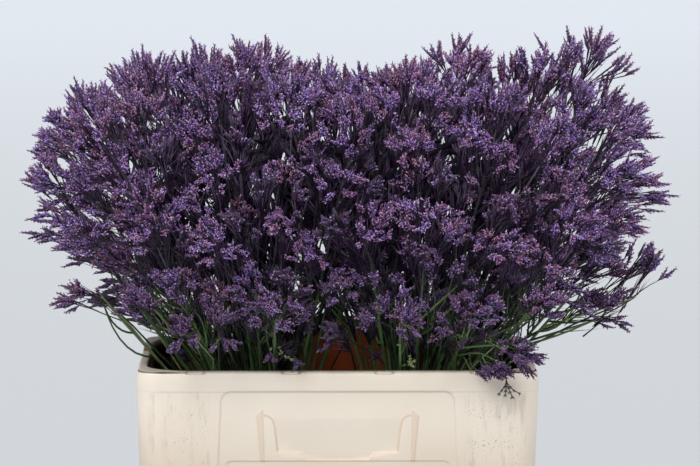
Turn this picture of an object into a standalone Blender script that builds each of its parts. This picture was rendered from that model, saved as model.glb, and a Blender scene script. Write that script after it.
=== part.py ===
"""Two bunches of dried statice standing in a plastic flower bin.

Each cut stem is one node: a green stalk that stands on the bin's floor, its side branches, and the
purple tufts that they carry. Metres, +Z up, origin at the centre of the bin's underside, and the
bin's front faces -Y. Every draw is seeded, so the same bunch grows each time.
"""

import math
from dataclasses import dataclass, field

import bmesh
import bpy
import numpy as np

# Bin
BIN_WIDTH = 0.404
BIN_DEPTH = 0.304
BIN_HEIGHT = 0.360
BIN_DRAFT = 0.026
BIN_WALL = 0.0055
BIN_FLOOR = 0.005
BIN_CORNER = 0.024
BIN_FOOT_ROUND = 0.008
BIN_SHOULDER = 0.004
BIN_SHOULDER_DROP = 0.012
CORNER_STEPS = 5
GAP = 0.0003

# Recessed grip panel on the bin's front and back
PANEL_TOP = 0.018
PANEL_BOTTOM = 0.150
PANEL_HALF_TOP = 0.116
PANEL_HALF_BOTTOM = 0.122
PANEL_DEEP = 0.0020
PANEL_ROUND = 0.010
GRIP_TOP = 0.045
GRIP_STEP = 0.079
GRIP_BOTTOM = 0.087
GRIP_HALF_TOP = 0.064
GRIP_HALF_STEP = 0.060
GRIP_HALF_BOTTOM = 0.030
GRIP_DEEP = 0.0024
RIB_TOP = 0.036
RIB_BOTTOM = 0.088
RIB_X = 0.078
RIB_HALF = 0.0035
RIB_LEAN = 0.003

# Red-brown lining, which stands higher behind the gap between the bunches
LINING_THICK = 0.0012
LINING_BELOW_RIM = 0.003
LINING_TAB_X = 0.012
LINING_TAB_HALF = 0.062
LINING_TAB_RISE = 0.022

# Stems
STEMS_PER_BUNCH = 22
BUNCH_SIGNS = (-1.0, 1.0)
WAIST_X = 0.073
WAIST_DROP = 0.105
WAIST_SPREAD = (0.026, 0.036)
FOOT_X = 0.085
FOOT_SPREAD = (0.050, 0.070)
LEAN_OUT = {-1.0: math.tan(math.radians(41)), 1.0: math.tan(math.radians(46))}
LEAN_IN = math.tan(math.radians(25))
LEAN_ACROSS = math.tan(math.radians(45))
FAN_SOFTNESS = 0.05
STALK_FOOT_RADIUS = 0.0026
STALK_TIP_RADIUS = 0.0011
STALK_SIDES = 5
STALK_RINGS = 6
BRANCH_RADIUS = 0.0012
BRANCH_SIDES = 3
BRANCH_RINGS = 3
GOLDEN_ANGLE = math.pi * (3 - math.sqrt(5))

# Outer form of the flower mass, above the rim
MASS_CENTRE = np.array([0.004, 0.0, BIN_HEIGHT + 0.172])
MASS_HALF = np.array([0.337, 0.232, 0.152])
MASS_BELOW = 0.148
MASS_POWER = 3.0
MASS_DIP = 0.028
MASS_DIP_X = 0.010
MASS_DIP_WIDTH = 0.055
STALK_REACH = 0.93

# Tufts
SIDE_TUFTS = 148
TUFT_LENGTH = 0.061
TUFT_INSET = 0.049
TUFT_HEART = 0.003
TUFT_FOOT = 0.011
TUFT_CORE_SHARE = 0.50
TUFT_CLEAR = 0.0004
CLEAR_OF_STALKS = 0.007
REACHING_SPOTS = (
    (0.306, -0.040, 0.064),
    (0.268, -0.075, 0.046),
    (0.246, 0.010, 0.040),
    (0.296, 0.060, 0.058),
    (0.248, -0.010, 0.272),
    (0.205, -0.050, 0.270),
)
SKIRT_Y = 0.166
SKIRT_Z = (0.040, 0.066)
SKIRT_X = (0.062, 0.105, 0.148, 0.191)
DROOP_SPOT = (0.178, -0.172, 0.026)
SPRIG_SPOT = (0.158, -0.168, 0.010)
SEED = 23

STEM_GREEN = (0.085, 0.150, 0.060, 1.0)
FLOWER_PURPLE = (0.150, 0.072, 0.270, 1.0)
BIN_CREAM = (0.800, 0.710, 0.585, 1.0)
LINING_BROWN = (0.190, 0.050, 0.022, 1.0)


@dataclass
class Spray:
    """One cut stem: its stalk, its branches and its tufts, as points and sizes."""

    name: str
    stalk: np.ndarray
    branches: list = field(default_factory=list)
    tufts: list = field(default_factory=list)


@dataclass
class Tuft:
    """A head of florets on the end of a branch or stalk: root, growth direction and length."""

    root: np.ndarray
    way: np.ndarray
    length: float
    turn: float
    folds: int

    @property
    def heart(self):
        """The point that its florets stand out from."""
        return self.root + self.way * TUFT_HEART


def unit(vector):
    return vector / np.linalg.norm(vector)


def mass_reach(point):
    """0 at the middle of the flower mass and 1 on the form that tufts start from.

    That form is a rounded box, set in from the mass's outer one by a tuft's length and dipped between the bunches.
    """
    half = MASS_HALF - TUFT_INSET
    dip = math.exp(-(((point[0] - MASS_DIP_X) / MASS_DIP_WIDTH) ** 2))
    half[2] = half[2] - MASS_DIP * dip if point[2] > MASS_CENTRE[2] else MASS_BELOW
    share = np.abs((point - MASS_CENTRE) / half)
    return float((share**MASS_POWER).sum() ** (1 / MASS_POWER))


def box_nearest(point):
    """The nearest points to a point on two plain boxes: the bin, and the lining's raised tab."""
    lows = np.array([[-BIN_WIDTH / 2, -BIN_DEPTH / 2, 0.0], [LINING_TAB_X - LINING_TAB_HALF, BIN_DEPTH / 2 - 0.016, 0.0]])
    highs = np.array(
        [
            [BIN_WIDTH / 2, BIN_DEPTH / 2, BIN_HEIGHT],
            [LINING_TAB_X + LINING_TAB_HALF, BIN_DEPTH / 2 - 0.008, BIN_HEIGHT + LINING_TAB_RISE],
        ]
    )
    return np.clip(point, lows, highs)


def bin_clearance(points):
    """The least distance of a polyline from the bin and the tab, tried at closely spaced points."""
    tries = resample(points, 16)
    return min(np.linalg.norm(box_nearest(p) - p, axis=1).min() for p in tries)


def resample(points, count):
    """The polyline read at evenly spaced lengths."""
    steps = np.linalg.norm(np.diff(points, axis=0), axis=1)
    along = np.concatenate([[0.0], np.cumsum(steps)])
    wanted = np.linspace(0.0, along[-1], count)
    return np.stack([np.interp(wanted, along, points[:, i]) for i in range(3)], axis=1)


def segment_distance(start, end, starts, ends):
    """The least distance from one straight piece to each of many, by trying ends and the nearest inner points."""
    u = end - start
    v = ends - starts
    w = start - starts
    a = u @ u
    b = v @ u
    c = (v * v).sum(axis=1)
    d = w @ u
    e = (v * w).sum(axis=1)
    bottom = np.maximum(a * c - b * b, 1e-12)
    s = np.clip((b * e - c * d) / bottom, 0, 1)
    t = np.clip((b * s + e) / np.maximum(c, 1e-12), 0, 1)
    s = np.clip((b * t - d) / max(a, 1e-12), 0, 1)
    near = start + s[:, None] * u
    return np.linalg.norm(near - (starts + t[:, None] * v), axis=1)


class Tubes:
    """The straight pieces of every stalk and branch laid down so far, with the spray that owns each."""

    def __init__(self):
        self.starts = np.zeros((0, 3))
        self.ends = np.zeros((0, 3))
        self.radii = np.zeros(0)
        self.owners = np.zeros(0, int)

    def add(self, points, radii, owner):
        self.starts = np.vstack([self.starts, points[:-1]])
        self.ends = np.vstack([self.ends, points[1:]])
        self.radii = np.concatenate([self.radii, np.maximum(radii[:-1], radii[1:])])
        self.owners = np.concatenate([self.owners, np.full(len(points) - 1, owner)])

    def clearance(self, points, radius, owner):
        """The least gap from this polyline to the pieces that other sprays own."""
        others = self.owners != owner
        if not others.any():
            return math.inf
        gaps = [
            (segment_distance(a, b, self.starts[others], self.ends[others]) - self.radii[others]).min()
            for a, b in zip(points[:-1], points[1:])
        ]
        return min(gaps) - radius

    def walls_for(self, centre, owner):
        """Planes (normal, distance from centre) that part the centre from each other spray's pieces."""
        others = self.owners != owner
        a = self.starts[others]
        v = self.ends[others] - a
        t = np.clip(((centre - a) * v).sum(axis=1) / (v * v).sum(axis=1), 0, 1)
        away = a + t[:, None] * v - centre
        far = np.linalg.norm(away, axis=1)
        return away / far[:, None], far - self.radii[others]


def stalk_radius(share):
    return STALK_FOOT_RADIUS + (STALK_TIP_RADIUS - STALK_FOOT_RADIUS) * share


def stalk_curve(sign, spot, lean):
    """A stalk's fine points: straight from foot to waist, then fanned out until it nears the mass's form.

    Below the waist its distance from the bunch's axis shrinks in line. Above it, lean times a soft ramp is added.
    """
    floor = BIN_FLOOR + GAP
    waist_z = BIN_HEIGHT - WAIST_DROP
    points = []
    for z in np.arange(floor, 1.0, 0.006):
        share = min((z - floor) / (waist_z - floor), 1.0)
        middle = sign * (FOOT_X + (WAIST_X - FOOT_X) * share)
        spread = np.array(FOOT_SPREAD) + (np.array(WAIST_SPREAD) - np.array(FOOT_SPREAD)) * share
        rise = z - waist_z
        ramp = rise if rise > FAN_SOFTNESS else max(rise + FAN_SOFTNESS, 0.0) ** 2 / (4 * FAN_SOFTNESS)
        x, y = np.array([middle, 0.0]) + spot * spread + lean * ramp
        point = np.array([x, y, z])
        reach = mass_reach(point)
        if z > BIN_HEIGHT + 0.05 and reach > STALK_REACH and reach > mass_reach(points[-1]):
            break
        points.append(point)
    return np.array(points)


def inside_mouth(points):
    """Whether a stalk passes the bin's rim clear of the lining."""
    x = np.interp(BIN_HEIGHT, points[:, 2], points[:, 0])
    y = np.interp(BIN_HEIGHT, points[:, 2], points[:, 1])
    return abs(x) < BIN_WIDTH / 2 - 0.016 and abs(y) < BIN_DEPTH / 2 - 0.016


def grow_stalks(rng, tubes):
    """The stalks of both bunches, spread like the seeds of a sunflower and nudged until each is clear."""
    sprays = []
    for sign in BUNCH_SIGNS:
        for k in range(STEMS_PER_BUNCH):
            radius = math.sqrt((k + 0.6) / STEMS_PER_BUNCH)
            angle = k * GOLDEN_ANGLE + (0.4 if sign > 0 else 2.1)
            owner = len(sprays)
            best = None
            for attempt in range(60):
                nudge = rng.normal(0, 0.02 + 0.004 * attempt, 4)
                spot = radius * np.array([math.cos(angle), math.sin(angle)]) + nudge[:2]
                outward = spot[0] * sign > 0
                lean = np.array([spot[0] * (LEAN_OUT[sign] if outward else LEAN_IN), spot[1] * LEAN_ACROSS])
                lean[0] += sign * 0.10
                lean += 1.2 * nudge[2:]
                points = resample(stalk_curve(sign, spot, lean), STALK_RINGS)
                if not inside_mouth(points):
                    continue
                gap = tubes.clearance(points, STALK_FOOT_RADIUS, owner)
                if best is None or gap > best[0]:
                    best = (gap, points)
                if gap > 0.0012:
                    break
            if best is None or best[0] < 0.0005:
                continue
            tubes.add(best[1], stalk_radius(np.linspace(0, 1, STALK_RINGS)), owner)
            sprays.append(Spray(f"spray_{owner + 1:02d}", best[1]))
    return sprays


def tuft_way(point, sign):
    """The way florets point: away from the bunch's waist, and turned up towards the light."""
    waist = np.array([sign * WAIST_X, 0.0, BIN_HEIGHT - WAIST_DROP])
    return unit(unit(point - waist) * np.array([1.0, 1.0, 0.8]) + np.array([0.0, 0.0, 0.38]))


def spot_allowed(point):
    """Tufts fill a shell of the mass. Its underside carries them only near the rim of the fan."""
    if not 0.70 < mass_reach(point) < 1.0:
        return False
    wide = np.abs((point - MASS_CENTRE) / (MASS_HALF - TUFT_INSET))[:2]
    if point[2] < MASS_CENTRE[2] and math.hypot(*wide) < 0.72:
        return False
    in_gap = abs(point[0] - 0.012) < 0.050 and point[2] < BIN_HEIGHT + 0.058
    chamfer = 0.75 if point[0] < 0 else 0.30
    above_fan = point[2] > BIN_HEIGHT + 0.050 + chamfer * max(abs(point[0]) - 0.16, 0)
    return above_fan and not in_gap


def scatter_spots(rng, taken):
    """Even random places for side tufts: each is the candidate farthest from all before it."""
    spots = list(taken)
    for _ in range(SIDE_TUFTS):
        found = []
        while len(found) < 24:
            point = MASS_CENTRE + MASS_HALF * rng.uniform(-1, 1, 3)
            if spot_allowed(point):
                found.append(point)
        gaps = np.linalg.norm(np.array(found)[:, None] - np.array(spots)[None], axis=2).min(axis=1)
        spots.append(found[int(gaps.argmax())])
    return np.array(spots[len(taken) :])


def bowed(start, start_way, end, end_way, bow):
    """A branch's points on a cubic that leaves along start_way and arrives along end_way."""
    span = np.linalg.norm(end - start)
    t = np.linspace(0, 1, BRANCH_RINGS)[:, None]
    cubic = (
        (2 * t**3 - 3 * t**2 + 1) * start
        + (t**3 - 2 * t**2 + t) * start_way * span
        + (3 * t**2 - 2 * t**3) * end
        + (t**3 - t**2) * end_way * span
    )
    return cubic + bow * np.sin(math.pi * t) ** 2


def grow_branch(rng, spray, owner, tubes, root, way, hearts):
    """Points from the stalk to a tuft's root that clear every other spray, or None.

    It leaves the stalk lower than the tuft by about the tuft's own distance, so that the fork is narrow.
    """
    fine = resample(spray.stalk, 60)
    steps = np.linalg.norm(fine - root, axis=1)
    nearest = int(steps.argmin())
    spacing = np.linalg.norm(fine[1] - fine[0])
    lowest = int(np.argmax(fine[:, 2] > BIN_HEIGHT + 0.008))
    others = np.array([h for h, o in hearts if o != owner])
    for attempt in range(26):
        back = steps[nearest] * rng.uniform(0.7, 1.5) / spacing
        start = int(np.clip(nearest - back, lowest, len(fine) - 4))
        start_way = unit(unit(fine[start + 1] - fine[start]) + 0.5 * unit(root - fine[start]))
        bow = rng.normal(0, 0.0015 + 0.0012 * attempt, 3)
        points = bowed(fine[start], start_way * 0.8, root, way * 0.8, bow)
        clear = tubes.clearance(points, BRANCH_RADIUS, owner) > 0.0006
        clear = clear and bin_clearance(points) > BRANCH_RADIUS + 0.0006
        if clear and len(others):
            gaps = [segment_distance(a, b, others, others + 1e-6).min() for a, b in zip(points[:-1], points[1:])]
            clear = min(gaps) > CLEAR_OF_STALKS
        if clear:
            return points
    return None


def grow_tufts(rng, sprays, tubes):
    """Gives each stalk a tuft on its tip and hands every scattered place to a stalk that can reach it."""
    hearts = []
    for owner, spray in enumerate(sprays):
        tip = spray.stalk[-1]
        sign = math.copysign(1.0, spray.stalk[0][0])
        way = unit(tuft_way(tip, sign) + 0.6 * unit(spray.stalk[-1] - spray.stalk[-2]))
        size = TUFT_LENGTH * rng.uniform(0.95, 1.2)
        spray.tufts.append(Tuft(tip, way, size, rng.uniform(0, math.tau), 4))
        hearts.append((spray.tufts[0].heart, owner))
    rim = np.array([0.0, 0.0, BIN_HEIGHT])
    down = unit(np.array([0.0, -0.5, -0.8]))
    aimed = [(rim + DROOP_SPOT, down, 0.040), (rim + SPRIG_SPOT, down, 0.022)]
    aimed += [(rim + spot, None, TUFT_LENGTH * 0.95) for spot in REACHING_SPOTS]
    for x in SKIRT_X:
        for sign_x, sign_y in ((-1, -1), (1, -1), (-1, 1), (1, 1)):
            spot = [sign_x * x + rng.normal(0, 0.006), sign_y * SKIRT_Y, rng.uniform(*SKIRT_Z)]
            aimed.append((rim + spot, None, TUFT_LENGTH * 0.72))
    taken = [heart for heart, _ in hearts] + [spot for spot, _, _ in aimed]
    for spot in scatter_spots(rng, taken):
        aimed.append((spot, None, TUFT_LENGTH * rng.uniform(0.85, 1.12)))
    for spot, way, size in aimed:
        place_tuft(rng, sprays, tubes, hearts, spot, way, size)


def place_tuft(rng, sprays, tubes, hearts, spot, way, size):
    """Adds one tuft and its branch to the nearest stalk that can reach the spot without a crossing."""
    distances = [np.linalg.norm(resample(s.stalk, 40) - spot, axis=1).min() for s in sprays]
    turn = rng.uniform(0, math.tau)
    for owner in np.argsort(distances)[:5]:
        sign = math.copysign(1.0, sprays[owner].stalk[0][0])
        heading = tuft_way(spot, sign) if way is None else way
        root = spot - heading * TUFT_HEART
        if tubes.clearance(np.array([root, spot + heading * 0.004]), CLEAR_OF_STALKS, owner) < 0:
            continue
        points = grow_branch(rng, sprays[owner], owner, tubes, root, heading, hearts)
        if points is None:
            continue
        tubes.add(points, np.full(BRANCH_RINGS, BRANCH_RADIUS), owner)
        sprays[owner].branches.append(points)
        sprays[owner].tufts.append(Tuft(root, heading, size, turn, 3))
        hearts.append((spot, int(owner)))
        return True
    return False


def plant_sprays():
    """Every spray of both bunches, with nothing of one crossing another."""
    rng = np.random.default_rng(SEED)
    tubes = Tubes()
    sprays = grow_stalks(rng, tubes)
    grow_tufts(rng, sprays, tubes)
    return sprays, tubes


def frame_across(way, turn):
    """Two unit vectors across a direction, turned about it."""
    side = unit(np.cross(way, [0.31, 0.95, 0.05]))
    up = np.cross(way, side)
    return (
        side * math.cos(turn) + up * math.sin(turn),
        up * math.cos(turn) - side * math.sin(turn),
    )


def tuft_directions(tuft):
    """Unit directions and lengths of a tuft's core corners, and the core's triangles.

    One corner on top, a ring at 40 degrees, a ring at 80 degrees turned by half a step, and one at the root.
    """
    across, up = frame_across(tuft.way, tuft.turn)
    core = tuft.length * TUFT_CORE_SHARE
    n = tuft.folds
    ways = [tuft.way]
    lengths = [core]
    for polar, offset, share in ((40, 0.0, 1.0), (80, 0.5, 0.66)):
        for i in range(n):
            angle = math.tau * (i + offset) / n
            lean = math.radians(polar)
            aside = across * math.cos(angle) + up * math.sin(angle)
            ways.append(tuft.way * math.cos(lean) + aside * math.sin(lean))
            lengths.append(core * share)
    ways.append(-tuft.way)
    lengths.append(TUFT_FOOT)
    low = 1 + n
    foot = 1 + 2 * n
    faces = []
    for i in range(n):
        j = (i + 1) % n
        faces += [(0, 1 + i, 1 + j), (1 + i, low + i, 1 + j), (1 + j, low + i, low + j), (low + i, foot, low + j)]
    return np.array(ways), np.array(lengths), faces


def held_in(centre, ways, lengths, walls):
    """Each corner's length, cut back so that it stays behind every parting plane by the clear gap."""
    normals, distances = walls
    facing = ways @ normals.T
    room = (distances - TUFT_CLEAR)[None, :]
    most = np.where(facing > 1e-6, room / np.maximum(facing, 1e-6), np.inf).min(axis=1)
    return np.minimum(lengths, most)


def tuft_shell(tuft, walls):
    """Corners and triangles of one tuft: a small core, with a floret spike raised on each upper face."""
    ways, lengths, faces = tuft_directions(tuft)
    centre = tuft.heart
    foot = len(ways) - 1
    core = held_in(centre, ways, lengths, walls)
    points = [centre + way * length for way, length in zip(ways, core)]
    triangles = []
    for face in faces:
        if foot in face:
            triangles.append(face)
            continue
        way = unit(sum(points[i] for i in face) / 3 - centre)
        tip = held_in(centre, way[None], np.array([tuft.length]), walls)[0]
        middle = np.linalg.norm(sum(points[i] for i in face) / 3 - centre)
        points.append(centre + way * max(tip, middle * 1.02))
        apex = len(points) - 1
        a, b, c = face
        triangles += [(a, b, apex), (b, c, apex), (c, a, apex)]
    return np.array(points), triangles


def parting_walls(tuft, owner, sprays, tubes):
    """Planes that keep a tuft off other sprays' stalks and branches, off every other tuft, and off the bin."""
    centre = tuft.heart
    normals, distances = tubes.walls_for(centre, owner)
    others = np.array([t.heart for s in sprays for t in s.tufts if t is not tuft])
    away = others - centre
    far = np.linalg.norm(away, axis=1)
    to_bin = box_nearest(centre) - centre
    bin_far = np.linalg.norm(to_bin, axis=1)
    return (
        np.vstack([normals, away / far[:, None], to_bin / bin_far[:, None]]),
        np.concatenate([distances, far / 2, bin_far]),
    )


def tube_shell(points, radii, sides):
    """Corners and faces of a closed tube along a polyline, with rings square to it and flat ends."""
    tangents = np.gradient(points, axis=0)
    tangents /= np.linalg.norm(tangents, axis=1)[:, None]
    side = unit(np.cross(tangents[0], [0.31, 0.95, 0.05]))
    corners = []
    for point, tangent, radius in zip(points, tangents, radii):
        side = unit(side - tangent * (side @ tangent))
        up = np.cross(tangent, side)
        for i in range(sides):
            angle = math.tau * i / sides
            corners.append(point + radius * (side * math.cos(angle) + up * math.sin(angle)))
    faces = [tuple(reversed(range(sides)))]
    for ring in range(len(points) - 1):
        for i in range(sides):
            j = (i + 1) % sides
            low = ring * sides
            faces.append((low + i, low + j, low + sides + j, low + sides + i))
    faces.append(tuple(range((len(points) - 1) * sides, len(points) * sides)))
    return np.array(corners), faces


def clear_scene():
    for thing in list(bpy.data.objects):
        bpy.data.objects.remove(thing, do_unlink=True)


def make_material(name, colour, roughness):
    material = bpy.data.materials.new(name)
    material.use_nodes = True
    shader = material.node_tree.nodes["Principled BSDF"]
    shader.inputs["Base Color"].default_value = colour
    shader.inputs["Roughness"].default_value = roughness
    shader.inputs["Metallic"].default_value = 0.0
    material.diffuse_color = colour
    return material


def mesh_object(name, corners, faces, material, collection=None):
    mesh = bpy.data.meshes.new(name)
    mesh.from_pydata([tuple(c) for c in corners], [], faces)
    mesh.materials.append(material)
    mesh.update()
    thing = bpy.data.objects.new(name, mesh)
    (collection or bpy.context.scene.collection).objects.link(thing)
    return thing


def apply_modifiers(thing):
    """Replaces the object's mesh by what its modifiers make of it."""
    graph = bpy.context.evaluated_depsgraph_get()
    mesh = bpy.data.meshes.new_from_object(thing.evaluated_get(graph))
    thing.modifiers.clear()
    thing.data = mesh


def fuse(thing, collection):
    """Joins the collection's closed shells to the object by one Boolean union, and removes them."""
    union = thing.modifiers.new("union", "BOOLEAN")
    union.operation = "UNION"
    union.operand_type = "COLLECTION"
    union.collection = collection
    union.solver = "MANIFOLD"
    apply_modifiers(thing)
    for other in list(collection.objects):
        bpy.data.objects.remove(other, do_unlink=True)
    bpy.data.collections.remove(collection)
    keep_largest(thing.data)


def keep_largest(mesh):
    """Drops every scrap that the union left loose from the main body."""
    shape = bmesh.new()
    shape.from_mesh(mesh)
    bmesh.ops.triangulate(shape, faces=shape.faces)
    left = set(shape.verts)
    groups = []
    while left:
        front = [left.pop()]
        group = list(front)
        while front:
            near = [e.other_vert(v) for v in front for e in v.link_edges]
            front = [v for v in dict.fromkeys(near) if v in left]
            left.difference_update(front)
            group += front
        groups.append(group)
    groups.sort(key=len)
    for group in groups[:-1]:
        bmesh.ops.delete(shape, geom=group, context="VERTS")
    shape.to_mesh(mesh)
    shape.free()


def build_spray(owner, spray, sprays, tubes, green, purple):
    """One cut stem as one closed body: stalk, branches and tufts."""
    radii = stalk_radius(np.linspace(0, 1, len(spray.stalk)))
    corners, faces = tube_shell(spray.stalk, radii, STALK_SIDES)
    foot = BIN_FLOOR + GAP
    corners[:STALK_SIDES, 2] = foot
    stalk = mesh_object(spray.name, corners, faces, green)
    stalk.data.materials.append(purple)
    extras = bpy.data.collections.new(spray.name + "_extras")
    bpy.context.scene.collection.children.link(extras)
    for i, points in enumerate(spray.branches):
        corners, faces = tube_shell(points, np.full(len(points), BRANCH_RADIUS), BRANCH_SIDES)
        mesh_object(f"{spray.name}_branch_{i}", corners, faces, green, extras)
    for i, tuft in enumerate(spray.tufts):
        corners, faces = tuft_shell(tuft, parting_walls(tuft, owner, sprays, tubes))
        mesh_object(f"{spray.name}_tuft_{i}", corners, faces, purple, extras)
    fuse(stalk, extras)


def rounded_ring(half_x, half_y, radius, z):
    """Points round a rectangle with round corners, anticlockwise seen from above."""
    points = []
    for quarter in range(4):
        sign_x = (1, -1, -1, 1)[quarter]
        sign_y = (1, 1, -1, -1)[quarter]
        for step in range(CORNER_STEPS + 1):
            angle = math.pi / 2 * (quarter + step / CORNER_STEPS)
            x = sign_x * (half_x - radius) + radius * math.cos(angle)
            y = sign_y * (half_y - radius) + radius * math.sin(angle)
            points.append((x, y, z))
    return points


def lofted(name, rings, material, close_ends):
    """A body lofted through rings of equal count, with flat ends or joined end to start."""
    count = len(rings[0])
    corners = [p for ring in rings for p in ring]
    faces = []
    spans = len(rings) - 1 if close_ends else len(rings)
    for ring in range(spans):
        low = ring * count
        high = ((ring + 1) % len(rings)) * count
        for i in range(count):
            j = (i + 1) % count
            faces.append((low + i, low + j, high + j, high + i))
    if close_ends:
        faces.insert(0, tuple(reversed(range(count))))
        faces.append(tuple(range((len(rings) - 1) * count, len(rings) * count)))
    return mesh_object(name, corners, faces, material)


def bin_half(z):
    """Half width and half depth of the bin's outside at a height, with its draft."""
    inward = BIN_DRAFT / 2 * (1 - z / BIN_HEIGHT)
    return BIN_WIDTH / 2 - inward, BIN_DEPTH / 2 - inward


def prism_cutter(name, outline, y_from, y_to):
    """A flat outline in X and Z, carried along Y, as a cutter or a rib."""
    mesh = bpy.data.meshes.new(name)
    shape = bmesh.new()
    front = [shape.verts.new((x, y_from, z)) for x, z in outline]
    face = shape.faces.new(front)
    carried = bmesh.ops.extrude_face_region(shape, geom=[face])
    moved = [v for v in carried["geom"] if isinstance(v, bmesh.types.BMVert)]
    bmesh.ops.translate(shape, verts=moved, vec=(0, y_to - y_from, 0))
    bmesh.ops.recalc_face_normals(shape, faces=shape.faces)
    shape.to_mesh(mesh)
    shape.free()
    thing = bpy.data.objects.new(name, mesh)
    bpy.context.scene.collection.objects.link(thing)
    return thing


def corner_arc(x, z, radius, start, steps=4):
    """Points of a quarter circle about a centre, from a start angle in quarters."""
    angles = [math.pi / 2 * (start + i / steps) for i in range(steps + 1)]
    return [(x + radius * math.cos(a), z + radius * math.sin(a)) for a in angles]


def panel_outline():
    """The grip panel: a box a little wider below, with round corners."""
    top = BIN_HEIGHT - PANEL_TOP
    bottom = BIN_HEIGHT - PANEL_BOTTOM
    r = PANEL_ROUND
    return (
        corner_arc(PANEL_HALF_TOP - r, top - r, r, 0)
        + corner_arc(-PANEL_HALF_TOP + r, top - r, r, 1)
        + corner_arc(-PANEL_HALF_BOTTOM + r, bottom + r, r, 2)
        + corner_arc(PANEL_HALF_BOTTOM - r, bottom + r, r, 3)
    )


def grip_outline():
    """The deeper grip pocket, with a step down at each side of its lower edge."""
    top = BIN_HEIGHT - GRIP_TOP
    step = BIN_HEIGHT - GRIP_STEP
    bottom = BIN_HEIGHT - GRIP_BOTTOM
    return [
        (GRIP_HALF_TOP, top),
        (-GRIP_HALF_TOP, top),
        (-GRIP_HALF_STEP, step),
        (-GRIP_HALF_BOTTOM - 0.006, step - 0.002),
        (-GRIP_HALF_BOTTOM, bottom),
        (GRIP_HALF_BOTTOM, bottom),
        (GRIP_HALF_BOTTOM + 0.006, step - 0.002),
        (GRIP_HALF_STEP, step),
    ]


def rib_outline(side_x):
    """A rib beside the grip, narrower and nearer the middle below."""
    top = BIN_HEIGHT - RIB_TOP
    bottom = BIN_HEIGHT - RIB_BOTTOM
    x = side_x * RIB_X
    foot_x = side_x * (RIB_X - RIB_LEAN)
    return [
        (x + RIB_HALF, top),
        (x - RIB_HALF, top),
        (foot_x - RIB_HALF * 0.5, bottom),
        (foot_x + RIB_HALF * 0.5, bottom),
    ]


def combine(thing, other, operation):
    """Applies one exact Boolean with another object, which is then removed."""
    step = thing.modifiers.new("combine", "BOOLEAN")
    step.operation = operation
    step.object = other
    step.solver = "EXACT"
    apply_modifiers(thing)
    bpy.data.objects.remove(other, do_unlink=True)


def leaned_with_wall(thing, side):
    """Shears a cutter drawn at the rim so that its depth follows the wall's draft."""
    slope = BIN_DRAFT / 2 / BIN_HEIGHT
    for vertex in thing.data.vertices:
        vertex.co.y -= side * slope * (BIN_HEIGHT - vertex.co.z)


def cut_grip(shell, side):
    """Cuts the panel and its pocket into the front, side -1, or the back, side 1."""
    face_y = side * BIN_DEPTH / 2
    outside = face_y + side * 0.02
    for outline, deep in ((panel_outline(), PANEL_DEEP), (grip_outline(), PANEL_DEEP + GRIP_DEEP)):
        cutter = prism_cutter("cutter", outline, face_y - side * deep, outside)
        leaned_with_wall(cutter, side)
        combine(shell, cutter, "DIFFERENCE")
    for side_x in (-1, 1):
        rib = prism_cutter("rib", rib_outline(side_x), face_y - side * (PANEL_DEEP + 0.0012), face_y - side * 0.0003)
        leaned_with_wall(rib, side)
        combine(shell, rib, "UNION")


def build_bin(cream):
    """The bin: drafted walls with round corners, an open mouth and a grip panel front and back."""
    foot_x, foot_y = bin_half(0)
    low_x, low_y = bin_half(BIN_FOOT_ROUND)
    turn_z = BIN_HEIGHT - BIN_SHOULDER_DROP
    turn_x, turn_y = bin_half(turn_z)
    top_x, top_y = bin_half(BIN_HEIGHT)
    inner_x, inner_y = bin_half(BIN_FLOOR)
    r = BIN_CORNER
    s = BIN_SHOULDER
    w = BIN_WALL
    b = BIN_FOOT_ROUND
    rings = [
        rounded_ring(foot_x - b, foot_y - b, r - b, 0),
        rounded_ring(foot_x - b * 0.3, foot_y - b * 0.3, r - b * 0.3, b * 0.3),
        rounded_ring(low_x, low_y, r, b),
        rounded_ring(turn_x, turn_y, r, turn_z),
        rounded_ring(top_x - s * 0.35, top_y - s * 0.35, r - s * 0.35, BIN_HEIGHT - 0.004),
        rounded_ring(top_x - s, top_y - s, r - s, BIN_HEIGHT),
        rounded_ring(top_x - s - w, top_y - s - w, r - s - w + 0.004, BIN_HEIGHT),
        rounded_ring(inner_x - w, inner_y - w, r - w, BIN_FLOOR),
    ]
    shell = lofted("bin_shell", rings, cream, close_ends=True)
    for side in (-1, 1):
        cut_grip(shell, side)
    return shell


def build_lining(brown):
    """The lining: a thin sleeve on the bin's floor, with a tab at the middle of its back."""
    low_z = BIN_FLOOR + GAP
    top_z = BIN_HEIGHT - LINING_BELOW_RIM
    foot_x, foot_y = bin_half(BIN_FLOOR)
    top_x = BIN_WIDTH / 2 - BIN_SHOULDER
    top_y = BIN_DEPTH / 2 - BIN_SHOULDER
    inset = BIN_WALL + 2 * GAP
    r = BIN_CORNER - inset
    t = LINING_THICK
    rings = [
        rounded_ring(foot_x - inset, foot_y - inset, r, low_z),
        rounded_ring(top_x - inset, top_y - inset, r, top_z),
        rounded_ring(top_x - inset - t, top_y - inset - t, r - t, top_z),
        rounded_ring(foot_x - inset - t, foot_y - inset - t, r - t, low_z),
    ]
    sleeve = lofted("bin_lining", rings, brown, close_ends=False)
    back = top_y - inset
    left = LINING_TAB_X - LINING_TAB_HALF
    right = LINING_TAB_X + LINING_TAB_HALF
    crest = BIN_HEIGHT + LINING_TAB_RISE
    outline = [(left, top_z - 0.02), (right, top_z - 0.02), (right - 0.004, crest), (left + 0.004, crest)]
    tab = prism_cutter("tab", outline, back - t * 1.05, back - t * 0.12)
    extras = bpy.data.collections.new("lining_extras")
    bpy.context.scene.collection.children.link(extras)
    bpy.context.scene.collection.objects.unlink(tab)
    extras.objects.link(tab)
    fuse(sleeve, extras)
    return sleeve


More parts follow.
